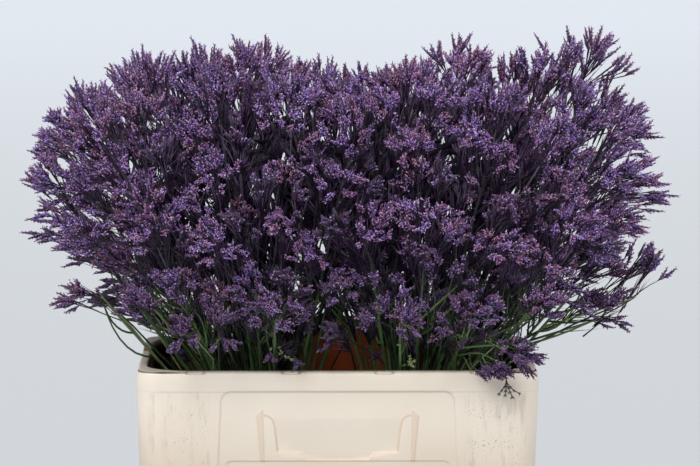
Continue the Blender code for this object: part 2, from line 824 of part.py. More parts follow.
def build():
    clear_scene()
    green = make_material("stem_green", STEM_GREEN, 0.6)
    purple = make_material("flower_purple", FLOWER_PURPLE, 0.75)
    cream = make_material("bin_cream", BIN_CREAM, 0.45)
    brown = make_material("lining_brown", LINING_BROWN, 0.8)
    build_bin(cream)
    build_lining(brown)
    sprays, tubes = plant_sprays()
    for owner, spray in enumerate(sprays):
        build_spray(owner, spray, sprays, tubes, green, purple)
    return sprays


SPRAYS = build()
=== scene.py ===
"""Dried statice in a cream flower bin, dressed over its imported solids.

The layout of stalks, branches and tufts repeats the part's own seeded rule, so each fine spray lies
where its solid does. Metres, +Z up, the bin's front faces -Y.
"""

import math
from dataclasses import dataclass, field
from functools import reduce

import bpy
import numpy as np
from bpy.props import FloatProperty, FloatVectorProperty, PointerProperty
from numpy.linalg import norm
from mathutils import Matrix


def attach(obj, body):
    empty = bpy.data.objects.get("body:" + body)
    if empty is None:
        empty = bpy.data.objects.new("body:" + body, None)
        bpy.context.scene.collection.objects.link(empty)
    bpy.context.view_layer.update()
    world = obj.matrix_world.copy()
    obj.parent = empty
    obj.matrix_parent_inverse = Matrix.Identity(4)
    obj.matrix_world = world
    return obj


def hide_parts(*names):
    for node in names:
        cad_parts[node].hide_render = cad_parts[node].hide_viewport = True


bl_info = {
    "name": "Dried statice in a flower bin",
    "version": (1, 0, 0),
    "blender": (4, 5, 0),
    "location": "3D View > Sidebar > Statice",
    "description": "Builds the fine sprays, the bin and the stage over the packed solids",
    "category": "Object",
}

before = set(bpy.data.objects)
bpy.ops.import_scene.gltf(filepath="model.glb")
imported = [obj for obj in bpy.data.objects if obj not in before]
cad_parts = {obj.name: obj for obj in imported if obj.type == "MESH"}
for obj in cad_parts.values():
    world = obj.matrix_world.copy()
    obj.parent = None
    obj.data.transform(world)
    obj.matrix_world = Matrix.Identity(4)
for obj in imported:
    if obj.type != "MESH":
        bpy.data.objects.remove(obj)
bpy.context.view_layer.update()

# The layout and the node group, each made once and then kept here
MADE = {}

# Bin
BIN_WIDTH = 0.404
BIN_DEPTH = 0.304
BIN_HEIGHT = 0.360
BIN_DRAFT = 0.026
BIN_WALL = 0.0055
BIN_FLOOR = 0.005
BIN_CORNER = 0.024
BIN_FOOT_ROUND = 0.008
BIN_SHOULDER = 0.004
BIN_SHOULDER_DROP = 0.012
GAP = 0.0003
RIM_MIDDLE = np.array([0.0, 0.0, BIN_HEIGHT])

# Recessed grip panel on the bin's front and back
PANEL_TOP = 0.018
PANEL_BOTTOM = 0.150
PANEL_HALF_TOP = 0.116
PANEL_HALF_BOTTOM = 0.122
PANEL_ROUND = 0.010
GRIP_TOP = 0.045
GRIP_STEP = 0.079
GRIP_BOTTOM = 0.087
GRIP_HALF_TOP = 0.064
GRIP_HALF_STEP = 0.060
GRIP_HALF_BOTTOM = 0.030
GRIP_DEEP = 0.0024
RIB_TOP = 0.036
RIB_BOTTOM = 0.088
RIB_X = 0.078
RIB_HALF = 0.0035
RIB_LEAN = 0.003

# Red-brown lining, which stands higher behind the gap between the bunches
LINING_THICK = 0.0012
LINING_BELOW_RIM = 0.003
LINING_TAB_X = 0.012
LINING_TAB_HALF = 0.062
LINING_TAB_RISE = 0.022
LINING_TAB_Y = (BIN_DEPTH / 2 - 0.016, BIN_DEPTH / 2 - 0.008)

# Stems
STEMS_PER_BUNCH = 22
BUNCH_SIGNS = (-1.0, 1.0)
BUNCH_TURN = {-1.0: 2.1, 1.0: 0.4}
WAIST_X = 0.073
WAIST_DROP = 0.105
WAIST_SPREAD = (0.026, 0.036)
FOOT_X = 0.085
FOOT_SPREAD = (0.050, 0.070)
LEAN_OUT = {-1.0: math.tan(math.radians(41)), 1.0: math.tan(math.radians(46))}
LEAN_IN = math.tan(math.radians(25))
LEAN_ACROSS = math.tan(math.radians(45))
LEAN_ASIDE = 0.10
FAN_SOFTNESS = 0.05
MOUTH_MARGIN = 0.016
STALK_FOOT_RADIUS = 0.0026
STALK_TIP_RADIUS = 0.0011
STALK_RINGS = 6
STALK_TRIES = 60
STALK_GAP = (0.0005, 0.0012)
BRANCH_RADIUS = 0.0012
BRANCH_RINGS = 3
BRANCH_TRIES = 26
BRANCH_GAP = 0.0006
BRANCH_ABOVE_RIM = 0.008
GOLDEN_ANGLE = math.pi * (3 - math.sqrt(5))

# Outer form of the flower mass, above the rim
MASS_CENTRE = np.array([0.004, 0.0, BIN_HEIGHT + 0.172])
MASS_HALF = np.array([0.337, 0.232, 0.152])
MASS_BELOW = 0.148
MASS_POWER = 3.0
MASS_DIP = 0.028
MASS_DIP_X = 0.010
MASS_DIP_WIDTH = 0.055
STALK_REACH = 0.93

# Tufts
SIDE_TUFTS = 148
SPOTS_TRIED = 24
SHELL_SHARE = (0.70, 1.0)
UNDERSIDE_SHARE = 0.72
BUNCH_GAP_HALF = 0.050
BUNCH_GAP_TOP = 0.058
FAN_BOTTOM = 0.050
FAN_FLAT = 0.16
FAN_CHAMFER = (0.75, 0.30)
TUFT_UPWARD = 0.38
TUFT_LENGTH = 0.061
TUFT_INSET = 0.049
TUFT_HEART = 0.003
CLEAR_OF_STALKS = 0.007
REACHING_SPOTS = (
    (0.306, -0.040, 0.064),
    (0.268, -0.075, 0.046),
    (0.246, 0.010, 0.040),
    (0.296, 0.060, 0.058),
    (0.248, -0.010, 0.272),
    (0.205, -0.050, 0.270),
)
SKIRT_Y = 0.166
SKIRT_Z = (0.040, 0.066)
SKIRT_X = (0.062, 0.105, 0.148, 0.191)
DROOP_SPOT = (0.178, -0.172, 0.026)
SPRIG_SPOT = (0.158, -0.168, 0.010)
SEED = 23

# Photo camera
IMAGE_WIDTH = 700
IMAGE_HEIGHT = 466
FOCAL_PIXELS = 4720.0
HORIZON_ROW = -238.6
VANISHING_COLUMN = 298.0
SENSOR_MM = 36.0
CAMERA_SIDE = -0.039
CAMERA_BACK = 4.814
CAMERA_ABOVE_RIM = 0.605

# Fine tufts: twigs fan out of the end of each tuft's stem, and combs of florets stand along the twigs
TWIGS = 9
COMBS = 46
WAYS_TRIED = 130
WIDEST_LEAN = math.radians(84)
CLUMP_SHARE = (0.64, 0.98)

# Where tufts reach less far, or further by a negative loss. Each row holds the place in x, its width, the loss, and
# how much a tuft faces up, or to the left when negative, for the whole loss. Its last number is the height of the
# lowest heart that it changes or, when negative, of the highest.
TRIMS = (
    (0.125, 0.085, 0.30, 0.62, 0.0),
    (0.034, 0.022, 0.22, 0.62, 0.0),
    (-0.062, 0.045, 0.24, 0.62, 0.0),
    (-0.290, 0.055, 0.34, -0.35, 0.512),
    (0.295, 0.035, 0.10, 0.50, 0.490),
    (0.302, 0.020, -0.14, 0.62, -0.450),
    (0.262, 0.018, -0.20, 0.62, -0.420),
    (0.248, 0.016, -0.34, 0.62, 0.620),
    (0.118, 0.012, -0.32, 0.62, 0.625),
)

# The ways of the combs, where twigs are bare, and the twigs and florets themselves
FLANK_X = (0.262, 0.296)
FLANK_Z = 0.52
FLANK_UPWARD = 0.80
SPIRE_CHANCE = 0.11
SPIRE_GAIN = 1.26
COMB_UNEVEN = 0.065
PULL = 0.30
AIRY_X = (0.200, 0.260)
AIRY_Z = (0.085, 0.125)
AIRY_CHANCE = 0.40
HEM_Z = (0.040, 0.070)
HEM_CHANCE = 0.35
TWIG_DROP = 0.042
FEET = 25
TWIG_SHARE = (0.40, 0.54)
COMB_FOOT = (0.42, 1.0)
COMB_FOOT_AIRY = 0.27
COMB_UPWARD = 0.17
COMB_BEND = 0.38
COMB_FLOWERED = (0.013, 0.021)
COMB_FLORETS = 16
FLORET_STEP = 0.00110
FLORET_TALL = (0.0048, 0.0068)
FLORET_WIDE = (0.0008, 0.0012)
FLORET_CORNERS = 3
FLORET_FACES = np.array([[0, 2, 1], [0, 3, 2], [0, 1, 3], [1, 2, 3]])
COMB_WIDTHS = np.array([0.00045, 0.0008, 0.0021, 0.0005])
INNER_WIDTHS = np.array([0.0006, 0.0021, 0.0005])
COMB_SIDES = 3
TWIG_SIDES = 3
TWIG_RINGS = 4
PLANES_NEAR = 30
WALL_MARGIN = (0.0010, 0.005)

# Inner tufts, which fill the voids of the mass, and where the voids end
INNER_TUFTS = 420
INNER_TWIGS = 3
INNER_COMBS = 15
INNER_FLORETS = 5
INNER_LENGTH = 0.058
INNER_CLEAR = 0.015
VOID_GRID = (27, 18, 13)
VOID_UNEVEN = 0.02
VOID_DIP_GAIN = 1.6
VOID_FRONT = (0.05, -0.05)
VOID_SHARE = 0.80
VOID_ABOVE_RIM = (0.012, 0.046)
VOID_HANG = 0.085
VOID_FLANK = 0.14
VOID_FLANK_RISE = 0.72
VOID_GAP = 0.055
VOID_GAP_TOP = 0.058
VOID_GAP_BACK = 0.150
INNER_STOUT = (2.4, 1.7)
INNER_DEPTH = (0.45, 0.75)
INNER_BARE = 0.555

# Fine wood: carriers of inner tufts, twigs, dry twiglets, scales, and stems beside the stalks
CARRIER_RINGS = 5
CARRIER_RADIUS = 0.0009
TWIG_RADIUS = 0.0008
NEEDLES = 8
INNER_NEEDLES = 30
NEEDLE_SHARE = (0.30, 0.62)
INNER_NEEDLE_SHARE = (0.45, 0.92)
NEEDLE_BACK = 0.030
NEEDLE_WIDE = (0.0005, 0.0009)
NEEDLE_STOUT = (3.4, 1.5)
BRACT_LONG = (0.0035, 0.0065)
BRACT_WIDE = 0.0011
SLIVER_FACES = np.array([[2, 1, 0], [3, 0, 1], [3, 1, 2], [3, 2, 0]])
COMPANIONS = 7
COMPANIONS_AT_GAP = 2
GAP_WIDE = 0.062
COMPANION_SPREAD = (0.005, 0.034)
COMPANION_RADIUS = (0.0009, 0.0015)
COMPANION_RINGS = 12
COMPANION_SIDES = 4
FORKS = 3
FORK_ABOVE_RIM = 0.004
FORK_RINGS = 8
FORK_RADIUS = 0.0012
FORK_TONE = (0.08, 0.42)
MOUTH_X = 0.185
MOUTH_Y = 0.135
STALK_FINE_SIDES = 8
STALK_FINE_RINGS = 28
BRANCH_FINE_SIDES = 6
BRANCH_FINE_RINGS = 9
STALK_SLIM = 1.10
STALK_TONE = (0.08, 0.36)
# Heights above the rim over which wood darkens with painted shade, and the most it darkens
STEM_SHADE_Z = (0.045, 0.110)
STEM_SHADE_SHARE = 0.78

# Side sprigs: spray, height above the rim where it leaves the stalk, places on its way, its fork, its tips, dryness
SPRIG_SLIVERS = 6
SPRIG_WIDE = 0.0011
SPRIG_LONG = (0.0022, 0.0042)
SPRIG_STEM = 0.0007
SPRIG_TWIG = 0.0005
SPRIGS = (
    (
        "spray_33",
        0.012,
        ((0.166, -0.105, 0.030), (0.1625, -0.135, 0.020), (0.1655, -0.1530, 0.007)),
        (0.1674, -0.1590, -0.006),
        ((0.1605, -0.1640, -0.020), (0.1665, -0.1650, -0.021), (0.1735, -0.1640, -0.023), (0.1800, -0.1630, -0.020)),
        0.70,
    ),
    (
        "spray_18",
        0.002,
        ((-0.059, -0.130, 0.008),),
        (-0.056, -0.133, 0.012),
        ((-0.066, -0.134, 0.020), (-0.058, -0.135, 0.022), (-0.046, -0.136, 0.011), (-0.043, -0.136, 0.007)),
        0.0,
    ),
    (
        "spray_35",
        0.004,
        ((0.0445, -0.104, 0.006),),
        (0.043, -0.109, 0.007),
        ((0.030, -0.118, 0.019), (0.036, -0.120, 0.015), (0.041, -0.118, 0.014), (0.034, -0.120, 0.008)),
        1.0,
    ),
    (
        "spray_43",
        0.002,
        ((0.067, -0.132, 0.004),),
        (0.069, -0.133, 0.005),
        ((0.072, -0.134, 0.013), (0.076, -0.135, 0.008), (0.075, -0.135, 0.003)),
        0.0,
    ),
)

# Fine bin: spacing of its grid close to the relief's edges and between them, and its relief
FRONT_FLAT = 0.174
COLUMNS_NEAR = (-0.0010, -0.0003, 0.0003, 0.0010)
COLUMN_STEPS = (0.0110, 0.0110, 0.0080, 0.0060, 0.0090, 0.0140)
ROWS_NEAR = (-0.0012, -0.0004, 0.0004, 0.0012)
ROW_STEPS = (0.0050, 0.0090, 0.0018, 0.0110, 0.0018, 0.0012, 0.0140)
BIN_FINE_DROP = 0.160
BIN_CORNER_POINTS = 10
BIN_SIDE_POINTS = 12
LINING_COLUMNS = 90
EDGE_SOFT = 0.0008
STEP_DROP = 0.0185
STEP_PROUD = 0.0004
RIB_SUNK = 0.0003
TAB_PLACES = (0.0465, 0.1418)
TAB_HALF = 0.0086
TAB_TALL = 0.0015
TAB_DROP = 0.0010
LIP_INWARD = 0.0035
LIP_SIDE = 0.0010
LIP_CORNER = 0.046
LIP_TALL = 0.0100
LIP_EDGE = 0.0012
GRIP_SLOPE = 0.022
RELIEF_DROP = 0.0017
FINE_PANEL_DEEP = 0.0013
HOOK_X = 0.0736
HOOK_DROP = 0.0539
HOOK_ROUND = 0.0100
LOWER_TOP = 0.0885
LOWER_HALF = 0.112
LOWER_DEEP = 0.0008

# Marks on the bin: each pair is from and to, as a distance from the middle or a depth below the rim
FACE_Y = (0.12, 0.14)
FOOT_SHADE_DROP = (0.030, 0.110)
PATCH_SIDE = (0.128, 0.190)
PATCH_DROP = (0.022, 0.108)
RUST_DROP = (0.060, 0.100)
GROOVE_DROP = (0.0002, 0.0018)
GROOVE_SIDE = (0.135, 0.175)
GROOVE_Y = (0.118, 0.130)
SLOT_SIDE = (0.1941, 0.1990)
SLOT_Y = (0.020, 0.066)
SLOT_DROP = (0.0032, 0.0024)

# The floor and the soft lights: name, which of the stage's strengths, angular size and turns in degrees
FLOOR_HALF = 60.0
FLOOR_Z = -0.0005
LIGHTS = (("key_light", "key", 50, (38, -14, -24)), ("fill_light", "fill", 70, (52, 10, 48)))

# A fixed way that no stem runs along, to start side vectors from
ODD_WAY = np.array([0.31, 0.95, 0.05])


# The part's own layout of stalks, branches and tufts


@dataclass
class Spray:
    """One cut stem: its stalk, its branches and its tufts, as points and sizes."""

    name: str
    stalk: np.ndarray
    branches: list = field(default_factory=list)
    tufts: list = field(default_factory=list)


@dataclass
class Tuft:
    """A head of florets on the end of a stem: root, growth direction, length and turn.

    folds is the number of corners in each ring of its solid, and 0 for an inner tuft, which has no solid.
    """

    root: np.ndarray
    way: np.ndarray
    length: float
    turn: float
    folds: int

    @property
    def heart(self):
        """The point that its florets stand out from."""
        return self.root + self.way * TUFT_HEART


def unit(vector):
    """The vector scaled to length one."""
    return vector / norm(vector)


def mass_reach(point):
    """0 at the middle of the flower mass and 1 on the form that tufts start from.

    That form is a rounded box, set in from the mass's outer one by a tuft's length and dipped between the bunches.
    """
    half = MASS_HALF - TUFT_INSET
    dip = math.exp(-(((point[0] - MASS_DIP_X) / MASS_DIP_WIDTH) ** 2))
    half[2] = half[2] - MASS_DIP * dip if point[2] > MASS_CENTRE[2] else MASS_BELOW
    share = np.abs((point - MASS_CENTRE) / half)
    return float((share**MASS_POWER).sum() ** (1 / MASS_POWER))


def box_nearest(point):
    """The nearest points to a point on two plain boxes: the bin, and the lining's raised tab."""
    half_x, half_y = BIN_WIDTH / 2, BIN_DEPTH / 2
    tab_front, tab_back = LINING_TAB_Y
    tab_top = BIN_HEIGHT + LINING_TAB_RISE
    lows = np.array([[-half_x, -half_y, 0.0], [LINING_TAB_X - LINING_TAB_HALF, tab_front, 0.0]])
    highs = np.array([[half_x, half_y, BIN_HEIGHT], [LINING_TAB_X + LINING_TAB_HALF, tab_back, tab_top]])
    return np.clip(point, lows, highs)


def bin_clearance(points):
    """The least distance of a polyline from the bin and the tab, tried at closely spaced points."""
    tries = resample(points, 16)
    return min(norm(box_nearest(p) - p, axis=1).min() for p in tries)


def resample(points, count, last=math.inf):
    """The polyline, or its last stretch of a given length, read at evenly spaced lengths."""
    steps = norm(np.diff(points, axis=0), axis=1)
    along = np.concatenate([[0.0], np.cumsum(steps)])
    wanted = np.linspace(max(along[-1] - last, 0.0), along[-1], count)
    return np.stack([np.interp(wanted, along, points[:, i]) for i in range(3)], axis=1)


def segment_distance(start, end, starts, ends):
    """The least distance from one straight piece to each of many, by trying ends and the nearest inner points."""
    u = end - start
    v = ends - starts
    w = start - starts
    a = u @ u
    b = v @ u
    c = (v * v).sum(axis=1)
    d = w @ u
    e = (v * w).sum(axis=1)
    bottom = np.maximum(a * c - b * b, 1e-12)
    s = np.clip((b * e - c * d) / bottom, 0, 1)
    t = np.clip((b * s + e) / np.maximum(c, 1e-12), 0, 1)
    s = np.clip((b * t - d) / max(a, 1e-12), 0, 1)
    near = start + s[:, None] * u
    return norm(near - (starts + t[:, None] * v), axis=1)


class Tubes:
    """The straight pieces of every stalk and branch laid down so far, with the spray that owns each."""

    def __init__(self):
        self.starts = np.zeros((0, 3))
        self.ends = np.zeros((0, 3))
        self.radii = np.zeros(0)
        self.owners = np.zeros(0, int)

    def add(self, points, radii, owner):
        self.starts = np.vstack([self.starts, points[:-1]])
        self.ends = np.vstack([self.ends, points[1:]])
        self.radii = np.concatenate([self.radii, np.maximum(radii[:-1], radii[1:])])
        self.owners = np.concatenate([self.owners, np.full(len(points) - 1, owner)])

    def clearance(self, points, radius, owner):
        """The least gap from this polyline to the pieces that other sprays own."""
        others = self.owners != owner
        if not others.any():
            return math.inf
        gaps = [
            (segment_distance(a, b, self.starts[others], self.ends[others]) - self.radii[others]).min()
            for a, b in zip(points[:-1], points[1:])
        ]
        return min(gaps) - radius

    def walls_for(self, centre, owner):
        """Planes (normal, distance from centre) that part the centre from each other spray's pieces."""
        others = self.owners != owner
        a = self.starts[others]
        v = self.ends[others] - a
        t = np.clip(((centre - a) * v).sum(axis=1) / (v * v).sum(axis=1), 0, 1)
        away = a + t[:, None] * v - centre
        far = norm(away, axis=1)
        return away / far[:, None], far - self.radii[others]


def stalk_radius(share):
    """A stalk's radius at a share of its length, thinning evenly from foot to tip."""
    return STALK_FOOT_RADIUS + (STALK_TIP_RADIUS - STALK_FOOT_RADIUS) * share


def stalk_curve(sign, spot, lean):
    """A stalk's fine points: straight from foot to waist, then fanned out until it nears the mass's form.

    Below the waist its distance from the bunch's axis shrinks in line. Above it, lean times a soft ramp is added.
    """
    floor = BIN_FLOOR + GAP
    waist_z = BIN_HEIGHT - WAIST_DROP
    points = []
    for z in np.arange(floor, 1.0, 0.006):
        share = min((z - floor) / (waist_z - floor), 1.0)
        middle = sign * (FOOT_X + (WAIST_X - FOOT_X) * share)
        spread = np.array(FOOT_SPREAD) + (np.array(WAIST_SPREAD) - np.array(FOOT_SPREAD)) * share
        rise = z - waist_z
        ramp = rise if rise > FAN_SOFTNESS else max(rise + FAN_SOFTNESS, 0.0) ** 2 / (4 * FAN_SOFTNESS)
        x, y = np.array([middle, 0.0]) + spot * spread + lean * ramp
        point = np.array([x, y, z])
        reach = mass_reach(point)
        if z > BIN_HEIGHT + 0.05 and reach > STALK_REACH and reach > mass_reach(points[-1]):
            break
        points.append(point)
    return np.array(points)


def inside_mouth(points):
    """Whether a stalk passes the bin's rim clear of the lining."""
    x = np.interp(BIN_HEIGHT, points[:, 2], points[:, 0])
    y = np.interp(BIN_HEIGHT, points[:, 2], points[:, 1])
    return abs(x) < BIN_WIDTH / 2 - MOUTH_MARGIN and abs(y) < BIN_DEPTH / 2 - MOUTH_MARGIN


def grow_stalks(rng, tubes):
    """The stalks of both bunches, spread like the seeds of a sunflower and nudged until each is clear."""
    sprays = []
    for sign in BUNCH_SIGNS:
        for k in range(STEMS_PER_BUNCH):
            radius = math.sqrt((k + 0.6) / STEMS_PER_BUNCH)
            angle = k * GOLDEN_ANGLE + BUNCH_TURN[sign]
            owner = len(sprays)
            best = None
            for attempt in range(STALK_TRIES):
                nudge = rng.normal(0, 0.02 + 0.004 * attempt, 4)
                spot = radius * np.array([math.cos(angle), math.sin(angle)]) + nudge[:2]
                outward = spot[0] * sign > 0
                lean = np.array([spot[0] * (LEAN_OUT[sign] if outward else LEAN_IN), spot[1] * LEAN_ACROSS])
                lean[0] += sign * LEAN_ASIDE
                lean += 1.2 * nudge[2:]
                points = resample(stalk_curve(sign, spot, lean), STALK_RINGS)
                if not inside_mouth(points):
                    continue
                gap = tubes.clearance(points, STALK_FOOT_RADIUS, owner)
                if best is None or gap > best[0]:
                    best = (gap, points)
                if gap > STALK_GAP[1]:
                    break
            if best is None or best[0] < STALK_GAP[0]:
                continue
            tubes.add(best[1], stalk_radius(np.linspace(0, 1, STALK_RINGS)), owner)
            sprays.append(Spray(f"spray_{owner + 1:02d}", best[1]))
    return sprays


def tuft_way(point, sign):
    """The way florets point: away from the bunch's waist, and turned up towards the light."""
    waist = np.array([sign * WAIST_X, 0.0, BIN_HEIGHT - WAIST_DROP])
    return unit(unit(point - waist) * np.array([1.0, 1.0, 0.8]) + np.array([0.0, 0.0, TUFT_UPWARD]))


def spot_allowed(point):
    """Tufts fill a shell of the mass. Its underside carries them only near the rim of the fan."""
    if not SHELL_SHARE[0] < mass_reach(point) < SHELL_SHARE[1]:
        return False
    wide = np.abs((point - MASS_CENTRE) / (MASS_HALF - TUFT_INSET))[:2]
    if point[2] < MASS_CENTRE[2] and math.hypot(*wide) < UNDERSIDE_SHARE:
        return False
    in_gap = abs(point[0] - LINING_TAB_X) < BUNCH_GAP_HALF and point[2] < BIN_HEIGHT + BUNCH_GAP_TOP
    chamfer = FAN_CHAMFER[0 if point[0] < 0 else 1]
    above_fan = point[2] > BIN_HEIGHT + FAN_BOTTOM + chamfer * max(abs(point[0]) - FAN_FLAT, 0)
    return above_fan and not in_gap


def scatter_spots(rng, taken):
    """Even random places for side tufts: each is the candidate farthest from all before it."""
    spots = list(taken)
    for _ in range(SIDE_TUFTS):
        found = []
        while len(found) < SPOTS_TRIED:
            point = MASS_CENTRE + MASS_HALF * rng.uniform(-1, 1, 3)
            if spot_allowed(point):
                found.append(point)
        gaps = norm(np.array(found)[:, None] - np.array(spots)[None], axis=2).min(axis=1)
        spots.append(found[int(gaps.argmax())])
    return np.array(spots[len(taken) :])


def cubic(t, start, leave, end, arrive):
    """Points at share t of the cubic from start to end that has the slopes leave and arrive there."""
    return (
        (2 * t**3 - 3 * t**2 + 1) * start
        + (t**3 - 2 * t**2 + t) * leave
        + (3 * t**2 - 2 * t**3) * end
        + (t**3 - t**2) * arrive
    )


def bowed(start, start_way, end, end_way, bow):
    """A branch's points on a cubic that leaves along start_way and arrives along end_way, bowed in the middle."""
    span = norm(end - start)
    t = np.linspace(0, 1, BRANCH_RINGS)[:, None]
    return cubic(t, start, start_way * span, end, end_way * span) + bow * np.sin(math.pi * t) ** 2


def grow_branch(rng, spray, owner, tubes, root, way, hearts):
    """Points from the stalk to a tuft's root that clear every other spray, or None.

    It leaves the stalk lower than the tuft by about the tuft's own distance, so that the fork is narrow.
    """
    fine = resample(spray.stalk, 60)
    steps = norm(fine - root, axis=1)
    nearest = int(steps.argmin())
    spacing = norm(fine[1] - fine[0])
    lowest = int(np.argmax(fine[:, 2] > BIN_HEIGHT + BRANCH_ABOVE_RIM))
    others = np.array([h for h, o in hearts if o != owner])
    for attempt in range(BRANCH_TRIES):
        back = steps[nearest] * rng.uniform(0.7, 1.5) / spacing
        start = int(np.clip(nearest - back, lowest, len(fine) - 4))
        start_way = unit(unit(fine[start + 1] - fine[start]) + 0.5 * unit(root - fine[start]))
        bow = rng.normal(0, 0.0015 + 0.0012 * attempt, 3)
        points = bowed(fine[start], start_way * 0.8, root, way * 0.8, bow)
        clear = tubes.clearance(points, BRANCH_RADIUS, owner) > BRANCH_GAP
        clear = clear and bin_clearance(points) > BRANCH_RADIUS + BRANCH_GAP
        if clear and len(others):
            gaps = [segment_distance(a, b, others, others + 1e-6).min() for a, b in zip(points[:-1], points[1:])]
            clear = min(gaps) > CLEAR_OF_STALKS
        if clear:
            return points
    return None


def grow_tufts(rng, sprays, tubes):
    """Gives each stalk a tuft on its tip and hands every scattered place to a stalk that can reach it."""
    hearts = []
    for owner, spray in enumerate(sprays):
        tip = spray.stalk[-1]
        sign = math.copysign(1.0, spray.stalk[0][0])
        way = unit(tuft_way(tip, sign) + 0.6 * unit(spray.stalk[-1] - spray.stalk[-2]))
        size = TUFT_LENGTH * rng.uniform(0.95, 1.2)
        spray.tufts.append(Tuft(tip, way, size, rng.uniform(0, math.tau), 4))
        hearts.append((spray.tufts[0].heart, owner))
    down = unit(np.array([0.0, -0.5, -0.8]))
    aimed = [(RIM_MIDDLE + DROOP_SPOT, down, 0.040), (RIM_MIDDLE + SPRIG_SPOT, down, 0.022)]
    aimed += [(RIM_MIDDLE + spot, None, TUFT_LENGTH * 0.95) for spot in REACHING_SPOTS]
    for x in SKIRT_X:
        for sign_x, sign_y in ((-1, -1), (1, -1), (-1, 1), (1, 1)):
            spot = [sign_x * x + rng.normal(0, 0.006), sign_y * SKIRT_Y, rng.uniform(*SKIRT_Z)]
            aimed.append((RIM_MIDDLE + spot, None, TUFT_LENGTH * 0.72))
    taken = [heart for heart, _ in hearts] + [spot for spot, _, _ in aimed]
    for spot in scatter_spots(rng, taken):
        aimed.append((spot, None, TUFT_LENGTH * rng.uniform(0.85, 1.12)))
    for spot, way, size in aimed:
        place_tuft(rng, sprays, tubes, hearts, spot, way, size)


def place_tuft(rng, sprays, tubes, hearts, spot, way, size):
    """Adds one tuft and its branch to the nearest stalk that can reach the spot without a crossing, if any can."""
    distances = [norm(resample(s.stalk, 40) - spot, axis=1).min() for s in sprays]
    turn = rng.uniform(0, math.tau)
    for owner in np.argsort(distances)[:5]:
        sign = math.copysign(1.0, sprays[owner].stalk[0][0])
        heading = tuft_way(spot, sign) if way is None else way
        root = spot - heading * TUFT_HEART
        if tubes.clearance(np.array([root, spot + heading * 0.004]), CLEAR_OF_STALKS, owner) < 0:
            continue
        points = grow_branch(rng, sprays[owner], owner, tubes, root, heading, hearts)
        if points is None:
            continue
        tubes.add(points, np.full(BRANCH_RINGS, BRANCH_RADIUS), owner)
        sprays[owner].branches.append(points)
        sprays[owner].tufts.append(Tuft(root, heading, size, turn, 3))
        hearts.append((spot, int(owner)))
        return


def plant_sprays():
    """Every spray of both bunches, with nothing of one crossing another."""
    rng = np.random.default_rng(SEED)
    tubes = Tubes()
    sprays = grow_stalks(rng, tubes)
    grow_tufts(rng, sprays, tubes)
    return sprays, tubes


def parting_walls(tuft, owner, sprays, tubes):
    """Planes that keep a tuft off other sprays' stalks and branches, off every other tuft, and off the bin."""
    centre = tuft.heart
    normals, distances = tubes.walls_for(centre, owner)
    others = np.array([t.heart for s in sprays for t in s.tufts if t is not tuft])
    away = others - centre
    far = norm(away, axis=1)
    to_bin = box_nearest(centre) - centre
    bin_far = norm(to_bin, axis=1)
    return (
        np.vstack([normals, away / far[:, None], to_bin / np.maximum(bin_far, 1e-12)[:, None]]),
        np.concatenate([distances, far / 2, bin_far]),
    )


def bin_half(z):
    """Half width and half depth of the bin's outside at a height, with its draft."""
    inward = BIN_DRAFT / 2 * (1 - z / BIN_HEIGHT)
    return BIN_WIDTH / 2 - inward, BIN_DEPTH / 2 - inward


def grip_outline():
    """The deeper grip pocket, with a step down at each side of its lower edge."""
    step = BIN_HEIGHT - GRIP_STEP
    half = [
        (GRIP_HALF_BOTTOM, BIN_HEIGHT - GRIP_BOTTOM),
        (GRIP_HALF_BOTTOM + 0.006, step - 0.002),
        (GRIP_HALF_STEP, step),
        (GRIP_HALF_TOP, BIN_HEIGHT - GRIP_TOP),
    ]
    return half + [(-x, z) for x, z in reversed(half)]


def rib_outline(side_x):
    """A rib beside the grip, narrower and nearer the middle below."""
    x, foot_x = side_x * RIB_X, side_x * (RIB_X - RIB_LEAN)
    top, bottom = BIN_HEIGHT - RIB_TOP, BIN_HEIGHT - RIB_BOTTOM
    foot_half = RIB_HALF * 0.5
    return [(x + RIB_HALF, top), (x - RIB_HALF, top), (foot_x - foot_half, bottom), (foot_x + foot_half, bottom)]


# Shapes


def normal_rows(vectors):
    """The vectors scaled to length one, along their last axis."""
    return vectors / np.maximum(norm(vectors, axis=-1, keepdims=True), 1e-12)


def spline_rows(points, count):
    """Smooth curves through rows of points: cubics with each tangent set by its two neighbours, read evenly."""
    n = points.shape[-2]
    before = np.concatenate([2 * points[..., :1, :] - points[..., 1:2, :], points[..., :-1, :]], axis=-2)
    after = np.concatenate([points[..., 1:, :], 2 * points[..., -1:, :] - points[..., -2:-1, :]], axis=-2)
    slopes = (after - before) / 2
    at = np.linspace(0, n - 1, count)
    low = np.minimum(at.astype(int), n - 2)
    t = (at - low)[:, None]
    return cubic(t, points[..., low, :], slopes[..., low, :], points[..., low + 1, :], slopes[..., low + 1, :])


def joined(a, b):
    """Quads between rings of corner indices and the rings after them. Each ring closes round the last axis."""
    return np.stack([a, np.roll(a, -1, axis=-1), np.roll(b, -1, axis=-1), b], axis=-1).reshape(-1, 4)


def circle_rows(side, up, count):
    """Corners of circles of radius one: at each angle, its cosine times side plus its sine times up."""
    angles = math.tau * np.arange(count) / count
    return side[:, None] * np.cos(angles)[None, :, None] + up[:, None] * np.sin(angles)[None, :, None]


